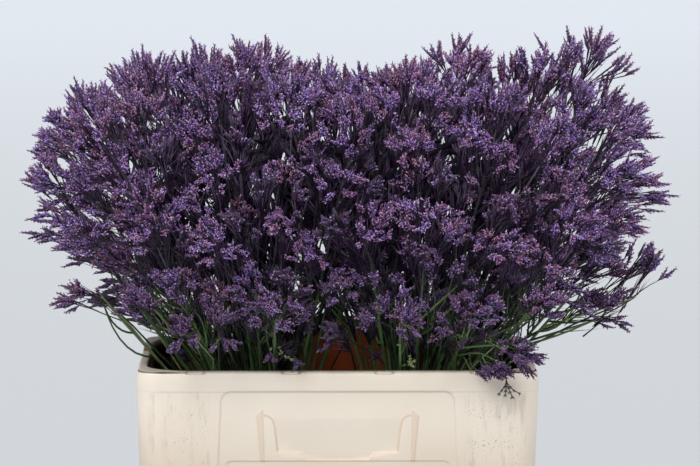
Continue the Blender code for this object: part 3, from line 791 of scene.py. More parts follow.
def tube_rows(points, radii, sides):
    """Closed tubes along many polylines at once.

    Each ring is a circle of the given radius square to the line, and its side vector is carried on from the
    ring before without a turn. Quads join the rings and a flat face closes each end.
    """
    n, rings, _ = points.shape
    tangents = normal_rows(np.gradient(points, axis=1))
    side = normal_rows(np.cross(tangents[:, 0], ODD_WAY))
    corners = np.empty((n, rings, sides, 3))
    for ring in range(rings):
        tangent = tangents[:, ring]
        side = normal_rows(side - tangent * (side * tangent).sum(axis=1, keepdims=True))
        circle = circle_rows(side, np.cross(tangent, side), sides)
        corners[:, ring] = points[:, ring, None] + radii[:, ring, None, None] * circle
    index = np.arange(n * rings * sides).reshape(n, rings, sides)
    caps = np.concatenate([index[:, 0, ::-1], index[:, -1]])
    return corners.reshape(-1, 3), [joined(index[:, :-1], index[:, 1:]), caps]


def copied_faces(faces, count, corners):
    """The faces of one small shape, repeated for a count of like shapes with so many corners each."""
    return (faces + corners * np.arange(count)[:, None, None]).reshape(-1, faces.shape[1])


def join_shapes(shapes):
    """One list of corners and of face arrays from several, with the indices moved on."""
    corners = []
    faces = []
    start = 0
    for points, sets in shapes:
        corners.append(points)
        faces += [s + start for s in sets]
        start += len(points)
    return np.concatenate(corners), faces


def mesh_piece(name, corners, face_sets, material, nodes, body="root", smooth=True, values=None):
    """Adds a mesh object from whole arrays of corners and faces, with named point values, riding on a body."""
    mesh = bpy.data.meshes.new(name)
    mesh.vertices.add(len(corners))
    mesh.vertices.foreach_set("co", corners.astype(np.float32).ravel())
    loops = np.concatenate([s.ravel() for s in face_sets])
    sizes = np.concatenate([np.full(len(s), s.shape[1]) for s in face_sets])
    mesh.loops.add(len(loops))
    mesh.loops.foreach_set("vertex_index", loops.astype(np.int32))
    mesh.polygons.add(len(sizes))
    mesh.polygons.foreach_set("loop_start", (np.cumsum(sizes) - sizes).astype(np.int32))
    mesh.polygons.foreach_set("use_smooth", np.full(len(sizes), smooth))
    mesh.update(calc_edges=True)
    for key, value in (values or {}).items():
        attribute = mesh.attributes.new(key, "FLOAT", "POINT")
        attribute.data.foreach_set("value", value.astype(np.float32).ravel())
    mesh.materials.append(material)
    piece = bpy.data.objects.new(name, mesh)
    bpy.context.scene.collection.objects.link(piece)
    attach(piece, body)
    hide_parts(*nodes)


def spray_piece(spray, part, shape, material, smooth=True):
    """One spray's stems, florets or combs, over its solid."""
    corners, faces, values = shape
    name = f"{spray.name}_{part}"
    mesh_piece(name, corners, faces, material, nodes=[spray.name], smooth=smooth, values=values)


def add_inner_tufts(sprays):
    """Smaller tufts in the voids of the mass.

    The middle of each is the place of an uneven grid that is farthest from the middles of all tufts so far. It
    belongs to the spray whose stalk is nearest, and points as the outer tufts do.
    """
    rng = np.random.default_rng(SEED + 2)
    steps = [np.linspace(-1, 1, n) for n in VOID_GRID]
    grid = np.stack(np.meshgrid(*steps, indexing="ij"), axis=-1).reshape(-1, 3)
    where = MASS_CENTRE + MASS_HALF * (grid + rng.normal(0, VOID_UNEVEN, grid.shape))
    dip = MASS_DIP * np.exp(-(((where[:, 0] - MASS_DIP_X) / MASS_DIP_WIDTH) ** 2)) * VOID_DIP_GAIN
    roof = MASS_CENTRE[2] + MASS_HALF[2] * VOID_SHARE - dip
    back_low, front_low = VOID_ABOVE_RIM
    low = BIN_HEIGHT + back_low + (front_low - back_low) * smooth_step(*VOID_FRONT, where[:, 1])
    low += VOID_FLANK_RISE * np.maximum(np.abs(where[:, 0]) - VOID_FLANK, 0)
    hung = where * 1.0
    hung[:, 2] = np.maximum(hung[:, 2], MASS_CENTRE[2] - VOID_HANG)
    away_x = np.abs(where[:, 0] - LINING_TAB_X)
    at_gap = (away_x < VOID_GAP) & (where[:, 2] < BIN_HEIGHT + VOID_GAP_TOP) & (where[:, 1] < VOID_GAP_BACK)
    where = where[(mass_share(hung) < VOID_SHARE) & (where[:, 2] < roof) & (where[:, 2] > low) & ~at_gap]
    lines = [chord_rows(s.stalk, 61) for s in sprays]
    away = np.stack([norm(where[:, None] - line, axis=2).min(axis=1) for line in lines], axis=1)
    owners = away.argmin(axis=1)
    middles = np.array([t.heart + t.way * 0.5 * t.length for s in sprays for t in s.tufts])
    gaps = norm(where[:, None] - middles[None], axis=2).min(axis=1)
    for _ in range(INNER_TUFTS):
        best = int(gaps.argmax())
        if gaps[best] < INNER_CLEAR:
            break
        spray = sprays[owners[best]]
        way = tuft_way(where[best], math.copysign(1.0, spray.stalk[0][0]))
        size = INNER_LENGTH * rng.uniform(0.85, 1.15)
        root = where[best] - way * (TUFT_HEART + 0.5 * size)
        spray.tufts.append(Tuft(root, way, size, rng.uniform(0, math.tau), 0))
        gaps = np.minimum(gaps, norm(where - where[best], axis=1))


def bend_rows(a, b, c, t):
    """Points at share t of the curves a, b, c, which start at a, end at c and lean towards b on the way."""
    return (1 - t) ** 2 * a + 2 * t * (1 - t) * b + t**2 * c


def mass_share(points):
    """0 at the middle of the flower mass and 1 on its outer form."""
    share = np.abs((points - MASS_CENTRE) / MASS_HALF)
    return (share**MASS_POWER).sum(axis=-1) ** (1 / MASS_POWER)


def picked_rows(rows, index):
    """The entries of each row, along the second axis, that its indices name."""
    return np.take_along_axis(rows, index.reshape(index.shape + (1,) * (rows.ndim - index.ndim)), axis=1)


class FineTufts:
    """Outer or inner tufts of every spray as whole arrays: twigs and combs, kept inside each tuft's own cell."""

    def __init__(self, sprays, tubes, woods, inner):
        self.rng = rng = np.random.default_rng(SEED + (3 if inner else 1))
        self.inner = inner
        twig_count, comb_count = (INNER_TWIGS, INNER_COMBS) if inner else (TWIGS, COMBS)
        tufts = [
            (owner, tuft, wood)
            for owner, spray in enumerate(sprays)
            for tuft, wood in zip(spray.tufts, woods[owner])
            if (tuft.folds == 0) == inner
        ]
        self.owner = np.array([owner for owner, _, _ in tufts])
        self.woods = [wood for _, _, wood in tufts]
        self.heart, self.way, self.length, turn = (
            np.array([getattr(tuft, key) for _, tuft, _ in tufts]) for key in ("heart", "way", "length", "turn")
        )
        self.normals, self.rooms = self.near_planes(sprays, tubes, tufts)
        count = len(tufts)

        # Each comb belongs to the twig that points its way most nearly
        ways = self.roomiest(turn, comb_count)
        leaders = self.leaders(ways, twig_count)
        near = np.einsum("tic,tjc->tij", ways, leaders)
        twig = near.argmax(axis=2)

        # The combs of one twig reach about as far, here and there much further, and some twigs carry none
        clump = rng.uniform(*CLUMP_SHARE, (count, twig_count))
        clump *= np.where(rng.random(clump.shape) < SPIRE_CHANCE, SPIRE_GAIN, 1.0)
        tall = picked_rows(clump, twig)
        self.leafed = self.bareness()[:, None] <= rng.random((count, twig_count))
        self.live = picked_rows(self.leafed, twig)
        tall = (self.length * self.trimmed())[:, None] * (tall + rng.normal(0, COMB_UNEVEN, tall.shape))
        ways = normal_rows(ways + PULL * picked_rows(leaders, twig))
        tips = self.held(self.heart[:, None] + ways * tall[..., None])

        # Twigs leave the last stretch of the tuft's stem and bend over a knee to their ends
        stretch = np.stack([resample(line, FEET, TWIG_DROP) for line in self.woods])
        step = np.round((FEET - 1) * (1 - rng.random((count, twig_count)) ** 1.2)).astype(int)
        foot = picked_rows(stretch, step)
        drop = norm(foot - self.heart[:, None], axis=2)
        reach = self.length[:, None] * rng.uniform(*TWIG_SHARE, (count, twig_count))
        end = self.heart[:, None] + leaders * reach[..., None]
        knee = foot + normal_rows(self.way[:, None] + 0.9 * leaders) * (0.55 * (reach + drop))[..., None]
        end = self.held(end)
        knee = self.held(knee)
        t = np.linspace(0, 1, TWIG_RINGS)[:, None]
        self.twigs = bend_rows(foot[:, :, None], knee[:, :, None], end[:, :, None], t)

        # Combs leave their twig along its way, and one comb carries on from the end of each twig
        foot, knee, end = (picked_rows(rows, twig) for rows in (foot, knee, end))
        share = rng.uniform(*COMB_FOOT, (count, comb_count, 1))
        share -= COMB_FOOT_AIRY * self.bareness()[:, None, None] * (1 - share) / (1 - COMB_FOOT[0]) / AIRY_CHANCE
        first = (near.argmax(axis=1)[:, None] == np.arange(comb_count)[None, :, None]).any(axis=2)
        share[first] = 1.0
        base = bend_rows(foot, knee, end, share)
        tangent = normal_rows((1 - share) * (knee - foot) + share * (end - knee))
        span = norm(tips - base, axis=2, keepdims=True)
        middle = base + tangent * COMB_BEND * span + rng.normal(0, 0.0012, base.shape)
        self.base, self.middle, self.tips = base, self.held(middle), tips
        self.span = span[..., 0]

        # The flowered length and its start, the hue, the dry twiglets, the depth in the mass and the stoutness
        self.flowered = rng.uniform(*COMB_FLOWERED, (count, comb_count))
        self.first = np.clip(1 - self.flowered / np.maximum(self.span, 1e-4), 0.06, 0.75)
        tuft_hue = rng.normal(0, 0.50, (count, 1)) + 0.45 * picked_rows(rng.normal(0, 1, (count, twig_count)), twig)
        self.hue = tuft_hue + rng.normal(0, 0.7, (count, comb_count))
        self.needles = self.bare_twiglets(turn + 1.0, INNER_NEEDLES if inner else NEEDLES)
        self.share = mass_share(tips)
        self.needle_stout = np.interp(mass_share(self.heart), INNER_DEPTH, NEEDLE_STOUT) if inner else np.ones(count)
        self.stout = np.interp(self.share, INNER_DEPTH, INNER_STOUT) if inner else np.ones(self.share.shape)

    def roomiest(self, turn, comb_count):
        """Ways of the combs: of many even ones on a cap round the tuft's own, those with the most room in its cell.

        Way i of n leans from the tuft's by the arc cosine of 1 - (1 - cos widest) (i + 0.5) / n and turns by the
        golden angle, then all tip up a little, and more at the right edge.
        """
        order = np.arange(WAYS_TRIED)
        lean = np.arccos(1 - (1 - math.cos(WIDEST_LEAN)) * (order + 0.5) / WAYS_TRIED)
        spin = turn[:, None] + order * GOLDEN_ANGLE
        across = normal_rows(np.cross(self.way, ODD_WAY))[:, None]
        upward = np.cross(self.way[:, None], across)
        aside = across * np.cos(spin)[..., None] + upward * np.sin(spin)[..., None]
        ways = self.way[:, None] * np.cos(lean)[:, None] + aside * np.sin(lean)[:, None]
        ways += self.rng.normal(0, 0.05, ways.shape)
        flank = smooth_step(*FLANK_X, self.heart[:, 0]) * (self.heart[:, 2] < FLANK_Z)
        ways[..., 2] += (COMB_UPWARD + FLANK_UPWARD * flank)[:, None]
        ways = normal_rows(ways)
        tips = self.held(self.heart[:, None] + ways * self.length[:, None, None], WALL_MARGIN[0])
        room = norm(tips - self.heart[:, None], axis=2) / self.length[:, None]
        score = room - 0.16 * order / WAYS_TRIED + self.rng.normal(0, 0.03, room.shape)
        return picked_rows(ways, np.argsort(-score, axis=1)[:, :comb_count])

    def bare_twiglets(self, turn, count):
        """Feet and tips of thin dry twiglets: each starts on the tuft's own line behind its heart and fans out."""
        ways = self.roomiest(turn, count)
        share = self.rng.uniform(*(INNER_NEEDLE_SHARE if self.inner else NEEDLE_SHARE), (len(ways), count))
        tall = (self.length * self.trimmed())[:, None] * share
        tips = self.held(self.heart[:, None] + ways * tall[..., None], WALL_MARGIN[1])
        back = self.rng.uniform(-0.3, 1.0, (len(ways), count, 1)) * NEEDLE_BACK
        return self.heart[:, None] - self.way[:, None] * back, tips

    def trimmed(self):
        """How far tufts reach: 1, less the loss of each row of TRIMS, which fades out in x like a bell curve."""
        share = np.ones(len(self.heart))
        for x, wide, loss, needs, height in TRIMS:
            facing = self.way[:, 2] if needs > 0 else -self.way[:, 0]
            inside = self.heart[:, 2] > height if height >= 0 else self.heart[:, 2] < -height
            amount = loss * smooth_step(abs(needs) - 0.15, abs(needs), facing) * inside
            share -= amount * np.exp(-(((self.heart[:, 0] - x) / wide) ** 2))
        return share

    def bareness(self):
        """The chance that a twig carries nothing: high at the airy lower flanks, and some along the lower hem."""
        x, z = np.abs(self.heart[:, 0]), self.heart[:, 2] - BIN_HEIGHT
        airy = AIRY_CHANCE * smooth_step(*AIRY_X, x) * smooth_step(*AIRY_Z[::-1], z)
        return np.maximum(airy, HEM_CHANCE * smooth_step(*HEM_Z[::-1], z))

    def leaders(self, ways, twig_count):
        """Ways of the twigs: each is the comb's way that is farthest from all chosen before it."""
        middle = ways.mean(axis=1, keepdims=True)
        pick = np.einsum("tic,tjc->ti", ways, middle).argmax(axis=1)
        rows = np.arange(len(ways))
        chosen = [ways[rows, pick]]
        gaps = norm(ways - chosen[0][:, None], axis=2)
        for _ in range(twig_count - 1):
            chosen.append(ways[rows, gaps.argmax(axis=1)])
            gaps = np.minimum(gaps, norm(ways - chosen[-1][:, None], axis=2))
        return np.stack(chosen, axis=1)

    def near_planes(self, sprays, tubes, tufts):
        """The nearest parting planes of each tuft, as in its solid."""
        normals = np.zeros((len(tufts), PLANES_NEAR, 3))
        rooms = np.full((len(tufts), PLANES_NEAR), 9.0)
        for i, (owner, tuft, _) in enumerate(tufts):
            n, d = parting_walls(tuft, owner, sprays, tubes)
            near = np.argsort(d)[:PLANES_NEAR]
            normals[i, : len(near)] = n[near]
            rooms[i, : len(near)] = d[near]
        return normals, rooms

    def held(self, points, margin=None):
        """Points drawn back along their ray from the heart until each lies behind every parting plane by a margin."""
        if margin is None:
            margin = self.rng.uniform(*WALL_MARGIN, points.shape[:2])
        away = points - self.heart[:, None]
        facing = np.einsum("tic,tkc->tik", away, self.normals)
        rooms = self.rooms[:, None] - np.asarray(margin)[..., None]
        share = np.where(facing > 1e-6, np.maximum(rooms, 0.0006) / np.maximum(facing, 1e-6), 9.0).min(axis=-1)
        return self.heart[:, None] + away * np.minimum(share, 1.0)[..., None]

    def florets(self):
        """Florets as closed three-sided cups in three rows along each comb's upper part, tipped forwards.

        Floret i of n sits at (i + 0.6) / n of that part. i modulo 3 says its row: left, middle or right.
        A cup has one corner at its base and three round its mouth, each at a height of its own.
        """
        rng = self.rng
        most = INNER_FLORETS if self.inner else COMB_FLORETS
        inward = 0.45 + 0.55 * np.clip((self.share - 0.50) / 0.25, 0, 1)
        long = np.minimum(self.flowered, 0.94 * self.span)
        number = np.clip(np.round(long / FLORET_STEP * inward), 3, most)
        if self.inner:
            number[self.share < INNER_BARE] = 0

        # The seat of each floret on its comb's curve, and its row's way
        i = np.arange(most)
        part = np.minimum((i + 0.6) / np.maximum(number, 1)[..., None], 1.0)
        kept = (i < number[..., None]) & self.live[..., None]
        at = self.first[..., None] + (0.98 - self.first[..., None]) * part
        shape = at.shape
        t = at[..., None]
        base, middle, tips = self.base[:, :, None], self.middle[:, :, None], self.tips[:, :, None]
        seat = bend_rows(base, middle, tips, t)
        along = normal_rows((1 - t) * (middle - base) + t * (tips - middle))
        outer = normal_rows(seat - self.heart[:, None, None] + np.array([0.0, 0.0, 0.030]))
        flank = normal_rows(np.cross(along, outer + rng.normal(0, 0.15, (shape[0], shape[1], 1, 3))))
        outer = np.cross(flank, along)
        row = (i % 3 - 1)[:, None]
        tipness = part**2
        way = normal_rows(
            along * (rng.uniform(1.05, 1.45, shape) + 0.9 * tipness)[..., None]
            + flank * row * rng.uniform(0.55, 1.0, shape)[..., None]
            + outer * np.where(row == 0, rng.choice((-0.7, 0.7), shape)[..., None], 0.1)
            + rng.normal(0, 0.10, shape + (3,))
        )

        # Its size, smaller and more often a bud towards the tip, and its tone and hue
        tall = rng.uniform(*FLORET_TALL, shape) * (1 - 0.35 * tipness)
        wide = rng.uniform(*FLORET_WIDE, shape) * (1 - 0.30 * tipness)
        bud = (rng.random(shape) < 0.08 + 0.50 * tipness).astype(float)
        wide *= 1 - 0.25 * bud
        comb_tone = rng.random(shape[:2])[..., None]
        tone = np.clip(0.62 * rng.random(shape) + 0.38 * comb_tone, 0, 1)
        hue = self.hue[..., None] + rng.normal(0, 0.45, shape)
        owner = np.broadcast_to(self.owner[:, None, None], shape)[kept]
        depth = np.broadcast_to(self.share[..., None], shape)[kept]
        seat, way, tall, wide = seat[kept], way[kept], tall[kept], wide[kept]

        # Its corners: the seat, then the mouth
        side = normal_rows(np.cross(way, ODD_WAY + rng.normal(0, 0.3, way.shape)))
        circle = circle_rows(side, np.cross(way, side), FLORET_CORNERS)
        uneven = rng.uniform(0.72, 1.0, (len(seat), FLORET_CORNERS))
        rim = (seat[:, None] + way[:, None] * (tall[:, None] * uneven)[..., None]) + circle * wide[:, None, None]
        corners = np.concatenate([seat[:, None], rim], axis=1)
        values = {"out": depth, "tone": tone[kept], "bud": bud[kept], "hue": hue[kept]}
        values = {key: np.repeat(value[:, None], FLORET_CORNERS + 1, axis=1) for key, value in values.items()}
        values["rim"] = np.broadcast_to(np.array([0.0] + [1.0] * FLORET_CORNERS), corners.shape[:2])
        return owner, corners, values

    def spindles(self, owner):
        """The body of each comb: a tube along its curve, thin at first, widest at its florets, with a fine tip."""
        mine = (self.owner == owner)[:, None] & self.live
        base, middle, tips = (rows[mine][:, None] for rows in (self.base, self.middle, self.tips))
        first, hue = self.first[mine], self.hue[mine]
        full = 0.5 * (first + 1.0) - 0.06
        at = [np.zeros_like(full), full, np.ones_like(full)]
        if not self.inner:
            at.insert(1, np.minimum(first, full - 0.04))
        t = np.stack(at, axis=1)
        widths = (INNER_WIDTHS if self.inner else COMB_WIDTHS)[None]
        slim = (np.clip(self.span[mine] / 0.018, 0.45, 1.0) * self.stout[mine])[:, None]
        corners, faces = tube_rows(bend_rows(base, middle, tips, t[..., None]), widths * slim, COMB_SIDES)
        values = {"hue": hue, "tone": np.modf(np.abs(hue) * 7.31)[0], "out": self.share[mine]}
        values = {key: np.repeat(value, len(at) * COMB_SIDES) for key, value in values.items()}
        return corners, faces, {"along": np.repeat(t.ravel(), COMB_SIDES), **values}


def chord_rows(points, count):
    """Straight pieces read at even steps of their index."""
    n = len(points)
    at = np.linspace(0, n - 1, count)
    low = np.minimum(at.astype(int), n - 2)
    rest = (at - low)[:, None]
    return points[low] * (1 - rest) + points[low + 1] * rest


def fine_branches(spray, stalk):
    """Branch curves that start on the smooth stalk: the start's shift fades out along the branch."""
    chords = chord_rows(spray.stalk, 200)
    smooth = chord_rows(stalk, 200)
    rows = []
    for points in spray.branches:
        curve = spline_rows(points[None], BRANCH_FINE_RINGS)[0]
        near = int(norm(chords - points[0], axis=1).argmin())
        fade = np.linspace(1, 0, BRANCH_FINE_RINGS)[:, None] ** 1.5
        rows.append(curve + (smooth[near] - chords[near]) * fade)
    return np.array(rows)


def companion_stems(rng, spray, stalk):
    """Thinner stems beside the stalk, each ending in one of the spray's tufts, and the radius of each.

    Each is the stalk's curve, moved aside by a vector that turns slowly, plus the way to the tuft times t to the
    power 2.4. Below the rim it is drawn in until (x / mouth x)^6 + (y / mouth y)^6 is at most 1, which fades out
    above the rim.
    """
    targets = [t.root for t in spray.tufts[1:]] or [spray.tufts[0].root]
    t = np.linspace(0, 1, COMPANION_RINGS)
    rows = []
    at_rim = stalk[int(np.argmax(stalk[:, 2] > BIN_HEIGHT))]
    at_gap = abs(at_rim[0] - LINING_TAB_X) < GAP_WIDE
    for _ in range(COMPANIONS_AT_GAP if at_gap else COMPANIONS):
        target = targets[int(rng.integers(len(targets)))]
        near = int(norm(stalk - target, axis=1).argmin())
        line = chord_rows(stalk[: max(near, 14) + 1], COMPANION_RINGS)
        angle = rng.uniform(0, math.tau) + rng.uniform(-2.4, 2.4) * t
        spread = rng.uniform(*COMPANION_SPREAD) * (0.4 if at_gap else 1.0)
        aside = np.stack([np.cos(angle), np.sin(angle), np.zeros_like(t)], axis=1) * spread
        rows.append(line + aside * (1 - t**4)[:, None] + (target - line[-1]) * (t**2.4)[:, None])
    rows = np.array(rows)
    out = ((rows[..., 0] / MOUTH_X) ** 6 + (rows[..., 1] / MOUTH_Y) ** 6) ** (1 / 6)
    inside = smooth_step(BIN_HEIGHT + 0.045, BIN_HEIGHT + 0.010, rows[..., 2])
    shrink = 1 + inside * (1 / np.maximum(out, 1) - 1)
    rows[..., :2] *= shrink[..., None]
    return rows, rng.uniform(*COMPANION_RADIUS, len(rows))


def fork_stems(rng, spray, stalk):
    """Side stems that leave the stalk just above the rim, tip well away from it, and end in the spray's tufts.

    Each is a curve whose middle lies as far along the stalk's way as across it.
    """
    low = int(np.argmax(stalk[:, 2] > BIN_HEIGHT + FORK_ABOVE_RIM))
    high = min(low + 3, len(stalk) - 1)
    start = stalk[rng.integers(low, high, FORKS)]
    target = np.array([spray.tufts[i].root for i in rng.integers(0, len(spray.tufts), FORKS)])
    ahead = normal_rows(stalk[high] - stalk[low])
    way = target - start
    across = normal_rows(way - ahead * (way @ ahead)[:, None])
    knee = start + (ahead + across) * 0.34 * norm(way, axis=1, keepdims=True)
    t = np.linspace(0, 1, FORK_RINGS)[:, None]
    return bend_rows(start[:, None], knee[:, None], target[:, None], t)


def carrier(rng, tuft, stalk):
    """A thin stem from the stalk to an inner tuft: a cubic that leaves along the stalk and arrives along the tuft.

    It leaves the stalk lower than the tuft by about the tuft's own distance.
    """
    line = chord_rows(stalk, 121)
    away = norm(line - tuft.root, axis=1)
    near = int(away.argmin())
    spacing = norm(line[1] - line[0])
    lowest = int(np.argmax(line[:, 2] > BIN_HEIGHT - 0.02))
    start = int(np.clip(near - away[near] * rng.uniform(0.9, 1.8) / spacing, min(lowest, near), len(line) - 3))
    span = norm(tuft.root - line[start])
    leave = unit(unit(line[start + 1] - line[start]) + 0.4 * unit(tuft.root - line[start])) * span * 0.8
    t = np.linspace(0, 1, CARRIER_RINGS)[:, None]
    return cubic(t, line[start], leave, tuft.root, tuft.way * span * 0.8)


def tuft_woods(sprays, stalks):
    """The stem under each tuft: the stalk, then the branches, then the thin stems to the inner tufts."""
    rng = np.random.default_rng(SEED + 4)
    woods = []
    for spray, stalk in zip(sprays, stalks):
        rows = [stalk] + (list(fine_branches(spray, stalk)) if spray.branches else [])
        rows += [carrier(rng, tuft, stalk) for tuft in spray.tufts[len(rows) :]]
        woods.append(rows)
    return woods


def slivers(rng, feet, tips, wide):
    """Closed four-faced slivers from a small three-cornered foot to a point."""
    ways = normal_rows(tips - feet)
    side = normal_rows(np.cross(ways, rng.normal(0, 1, ways.shape)))
    across = np.cross(ways, side)
    corners = np.stack([feet + side * wide, feet - side * wide, feet + across * wide, tips], axis=1)
    return corners.reshape(-1, 3), [copied_faces(SLIVER_FACES, len(feet), 4)]


def bract_tips(rng, feet, ways):
    """Tips of the small pointed scales at the forks, tipped 20 to 50 degrees off the twig's way."""
    across = normal_rows(np.cross(ways, rng.normal(0, 1, ways.shape)))
    lean = np.radians(rng.uniform(20, 50, (len(feet), 1)))
    return feet + (ways * np.cos(lean) + across * np.sin(lean)) * rng.uniform(*BRACT_LONG, (len(feet), 1))


def sprig(rng, stalk, rise, way_in, over, tips):
    """A small forked side sprig: its stem from the stalk at a height, its twigs to the tips, and slivers along them.

    The stem is a smooth curve through its places. Each twig is a curve from its end that first goes on along it.
    """
    start = stalk[int(np.argmax(stalk[:, 2] > BIN_HEIGHT + rise))]
    way_in, over, tips = (RIM_MIDDLE + np.array(places) for places in (way_in, over, tips))
    stem = spline_rows(np.concatenate([start[None], way_in, over[None]])[None], 9)
    ahead = normal_rows(stem[0, -1] - stem[0, -2])
    knee = over + ahead * norm(tips - over, axis=1, keepdims=True) * 0.45
    t = np.linspace(0, 1, 5)[:, None]
    twigs = bend_rows(np.broadcast_to(over, tips.shape)[:, None], knee[:, None], tips[:, None], t)
    feet = np.repeat(twigs[:, 2:].reshape(-1, 3), SPRIG_SLIVERS, axis=0)
    way = np.repeat(normal_rows(tips - over), 3 * SPRIG_SLIVERS, axis=0)
    ends = feet + normal_rows(way + rng.normal(0, 0.6, feet.shape)) * rng.uniform(*SPRIG_LONG, (len(feet), 1))
    return [(stem, SPRIG_STEM), (twigs, SPRIG_TWIG)], feet, ends


def spray_stems(owner, spray, stalk, groups):
    """The green wood of one spray: closed tubes and slivers, each with its age, its own tone, and its share of the
    dark purple colour: the dried sprigs' own look, and painted shade on the twiglets and on wood high in the flower
    mass.
    """
    rng = np.random.default_rng(SEED + 100 + owner)
    shapes = []
    ages = []
    tones = []
    dry_and_shade_parts = []

    def add_tubes(lines, radii, age, sides, tone=(0.0, 1.0), dry=0.0):
        age = np.broadcast_to(age, lines.shape[1])
        shapes.append(tube_rows(lines, np.broadcast_to(radii, lines.shape[:2]), sides))
        ages.append(np.tile(np.repeat(age, sides), len(lines)))
        tones.append(np.repeat(rng.uniform(*tone, len(lines)), len(age) * sides))
        dry_and_shade_parts.append(np.full(len(ages[-1]), dry))

    def add_slivers(feet, tips, wide, age, tone, dry):
        shapes.append(slivers(rng, feet, tips, wide))
        ages.append(np.full(4 * len(feet), age))
        tones.append(np.repeat(rng.uniform(*tone, len(feet)), 4))
        dry_and_shade_parts.append(np.repeat(rng.uniform(*dry, len(feet)), 4) if isinstance(dry, tuple) else 0 * ages[-1] + dry)

    share = np.linspace(0, 1, STALK_FINE_RINGS)
    radii = STALK_SLIM * stalk_radius(share) * (1 + 0.05 * np.sin(share * 40 + owner))
    add_tubes(stalk[None], radii, 0.62 * share, STALK_FINE_SIDES, STALK_TONE)
    if spray.branches:
        radii = np.linspace(1.05, 0.66, BRANCH_FINE_RINGS) * BRANCH_RADIUS
        add_tubes(fine_branches(spray, stalk), radii, np.linspace(0.45, 0.75, BRANCH_FINE_RINGS), BRANCH_FINE_SIDES)
    lines, thick = companion_stems(rng, spray, stalk)
    radii = thick[:, None] * np.linspace(1.0, 0.6, COMPANION_RINGS)
    add_tubes(lines, radii, np.linspace(0, 0.70, COMPANION_RINGS), COMPANION_SIDES)
    radii = FORK_RADIUS * np.linspace(1.0, 0.6, FORK_RINGS)
    add_tubes(fork_stems(rng, spray, stalk), radii, np.linspace(0.4, 0.7, FORK_RINGS), COMPANION_SIDES, FORK_TONE)
    for fine in groups:
        mine = fine.owner == owner
        twigs = fine.twigs[mine[:, None] & fine.leafed]
        if not len(twigs):
            continue
        radii = TWIG_RADIUS * np.linspace(1.0, 0.5, TWIG_RINGS)
        add_tubes(twigs, radii, np.linspace(0.62, 0.88, TWIG_RINGS), TWIG_SIDES)
        if fine.inner:
            lines = np.stack([fine.woods[i] for i in np.flatnonzero(mine)])
            radii = CARRIER_RADIUS * np.linspace(1.0, 0.7, CARRIER_RINGS)
            add_tubes(lines, radii, np.linspace(0.5, 0.7, CARRIER_RINGS), TWIG_SIDES)
        else:
            feet = twigs[:, 0]
            tips = bract_tips(rng, feet, normal_rows(twigs[:, 1] - feet))
            add_slivers(feet, tips, BRACT_WIDE, 1.0, (0.0, 0.5), 0.0)
        feet, tips = (rows[mine].reshape(-1, 3) for rows in fine.needles)
        stout = np.repeat(fine.needle_stout[mine], len(feet) // mine.sum())[:, None]
        # Dried twiglets inside the mass, whose share of the dark purple colour is painted shade
        add_slivers(feet, tips, rng.uniform(*NEEDLE_WIDE, stout.shape) * stout, 0.80, (0.35, 1.0), (0.3, 1.0))
    for name, rise, way_in, over, tips, dry in SPRIGS:
        if name == spray.name:
            lines, feet, ends = sprig(rng, stalk, rise, way_in, over, tips)
            for line, thick in lines:
                add_tubes(line, thick, 0.55, TWIG_SIDES, dry=dry * 0.6)
            add_slivers(feet, ends, SPRIG_WIDE, 1.0, (0.0, 0.12), dry)
    corners, faces = join_shapes(shapes)
    # Painted shade: wood turns to the dark purple colour higher in the flower mass
    shaded = STEM_SHADE_SHARE * smooth_step(BIN_HEIGHT + STEM_SHADE_Z[0], BIN_HEIGHT + STEM_SHADE_Z[1], corners[:, 2])
    dry = np.maximum(np.concatenate(dry_and_shade_parts), shaded)
    return corners, faces, {"age": np.concatenate(ages), "tone": np.concatenate(tones), "dry": dry}


def smooth_step(edge0, edge1, x):
    """0 below the first edge, 1 above the second, and a cubic between."""
    t = np.clip((x - edge0) / (edge1 - edge0), 0, 1)
    return t * t * (3 - 2 * t)


def rounded_box_distance(x, z, half_x, half_z, radius):
    """Signed distance to a box with round corners, negative inside."""
    dx = np.abs(x) - (half_x - radius)
    dz = np.abs(z) - (half_z - radius)
    outside = np.hypot(np.maximum(dx, 0), np.maximum(dz, 0))
    return outside + np.minimum(np.maximum(dx, dz), 0) - radius


def polygon_distance(x, z, outline):
    """Signed distance to a polygon, negative inside: the nearest edge, with the sign of an even-odd count."""
    best = np.full(x.shape, 9.0)
    inside = np.zeros(x.shape, bool)
    for (ax, az), (bx, bz) in zip(outline, outline[1:] + outline[:1]):
        ex, ez = bx - ax, bz - az
        t = np.clip(((x - ax) * ex + (z - az) * ez) / (ex * ex + ez * ez), 0, 1)
        best = np.minimum(best, np.hypot(x - ax - t * ex, z - az - t * ez))
        crosses = (az > z) != (bz > z)
        hit = ax + (z - az) / np.where(bz == az, 1.0, bz - az) * ex
        inside ^= crosses & (x < hit)
    return np.where(inside, -best, best)


def grip_edges(x, z):
    """Signed distances to the edges of the bin's relief, negative inside: panel, grip pocket, ribs, lower panel."""
    tall = (PANEL_BOTTOM - PANEL_TOP) / 2
    share = np.clip((BIN_HEIGHT - PANEL_TOP - z) / (2 * tall), 0, 1)
    half = PANEL_HALF_TOP + (PANEL_HALF_BOTTOM - PANEL_HALF_TOP) * share
    middle = BIN_HEIGHT - (PANEL_TOP + PANEL_BOTTOM) / 2
    panel = rounded_box_distance(x / half * PANEL_HALF_TOP, z - middle, PANEL_HALF_TOP, tall, PANEL_ROUND)
    tall = (PANEL_BOTTOM - 0.004 - LOWER_TOP) / 2
    middle = BIN_HEIGHT - LOWER_TOP - tall
    lower = rounded_box_distance(x, z - middle, LOWER_HALF, tall, PANEL_ROUND * 0.6)
    ribs = np.minimum(polygon_distance(x, z, rib_outline(-1)), polygon_distance(x, z, rib_outline(1)))
    slant = (z - (BIN_HEIGHT - RIB_TOP) + np.abs(x) - (RIB_X - RIB_HALF)) / math.sqrt(2)
    ribs = np.maximum(ribs, slant)
    return panel, polygon_distance(x, z, grip_outline()), ribs, lower


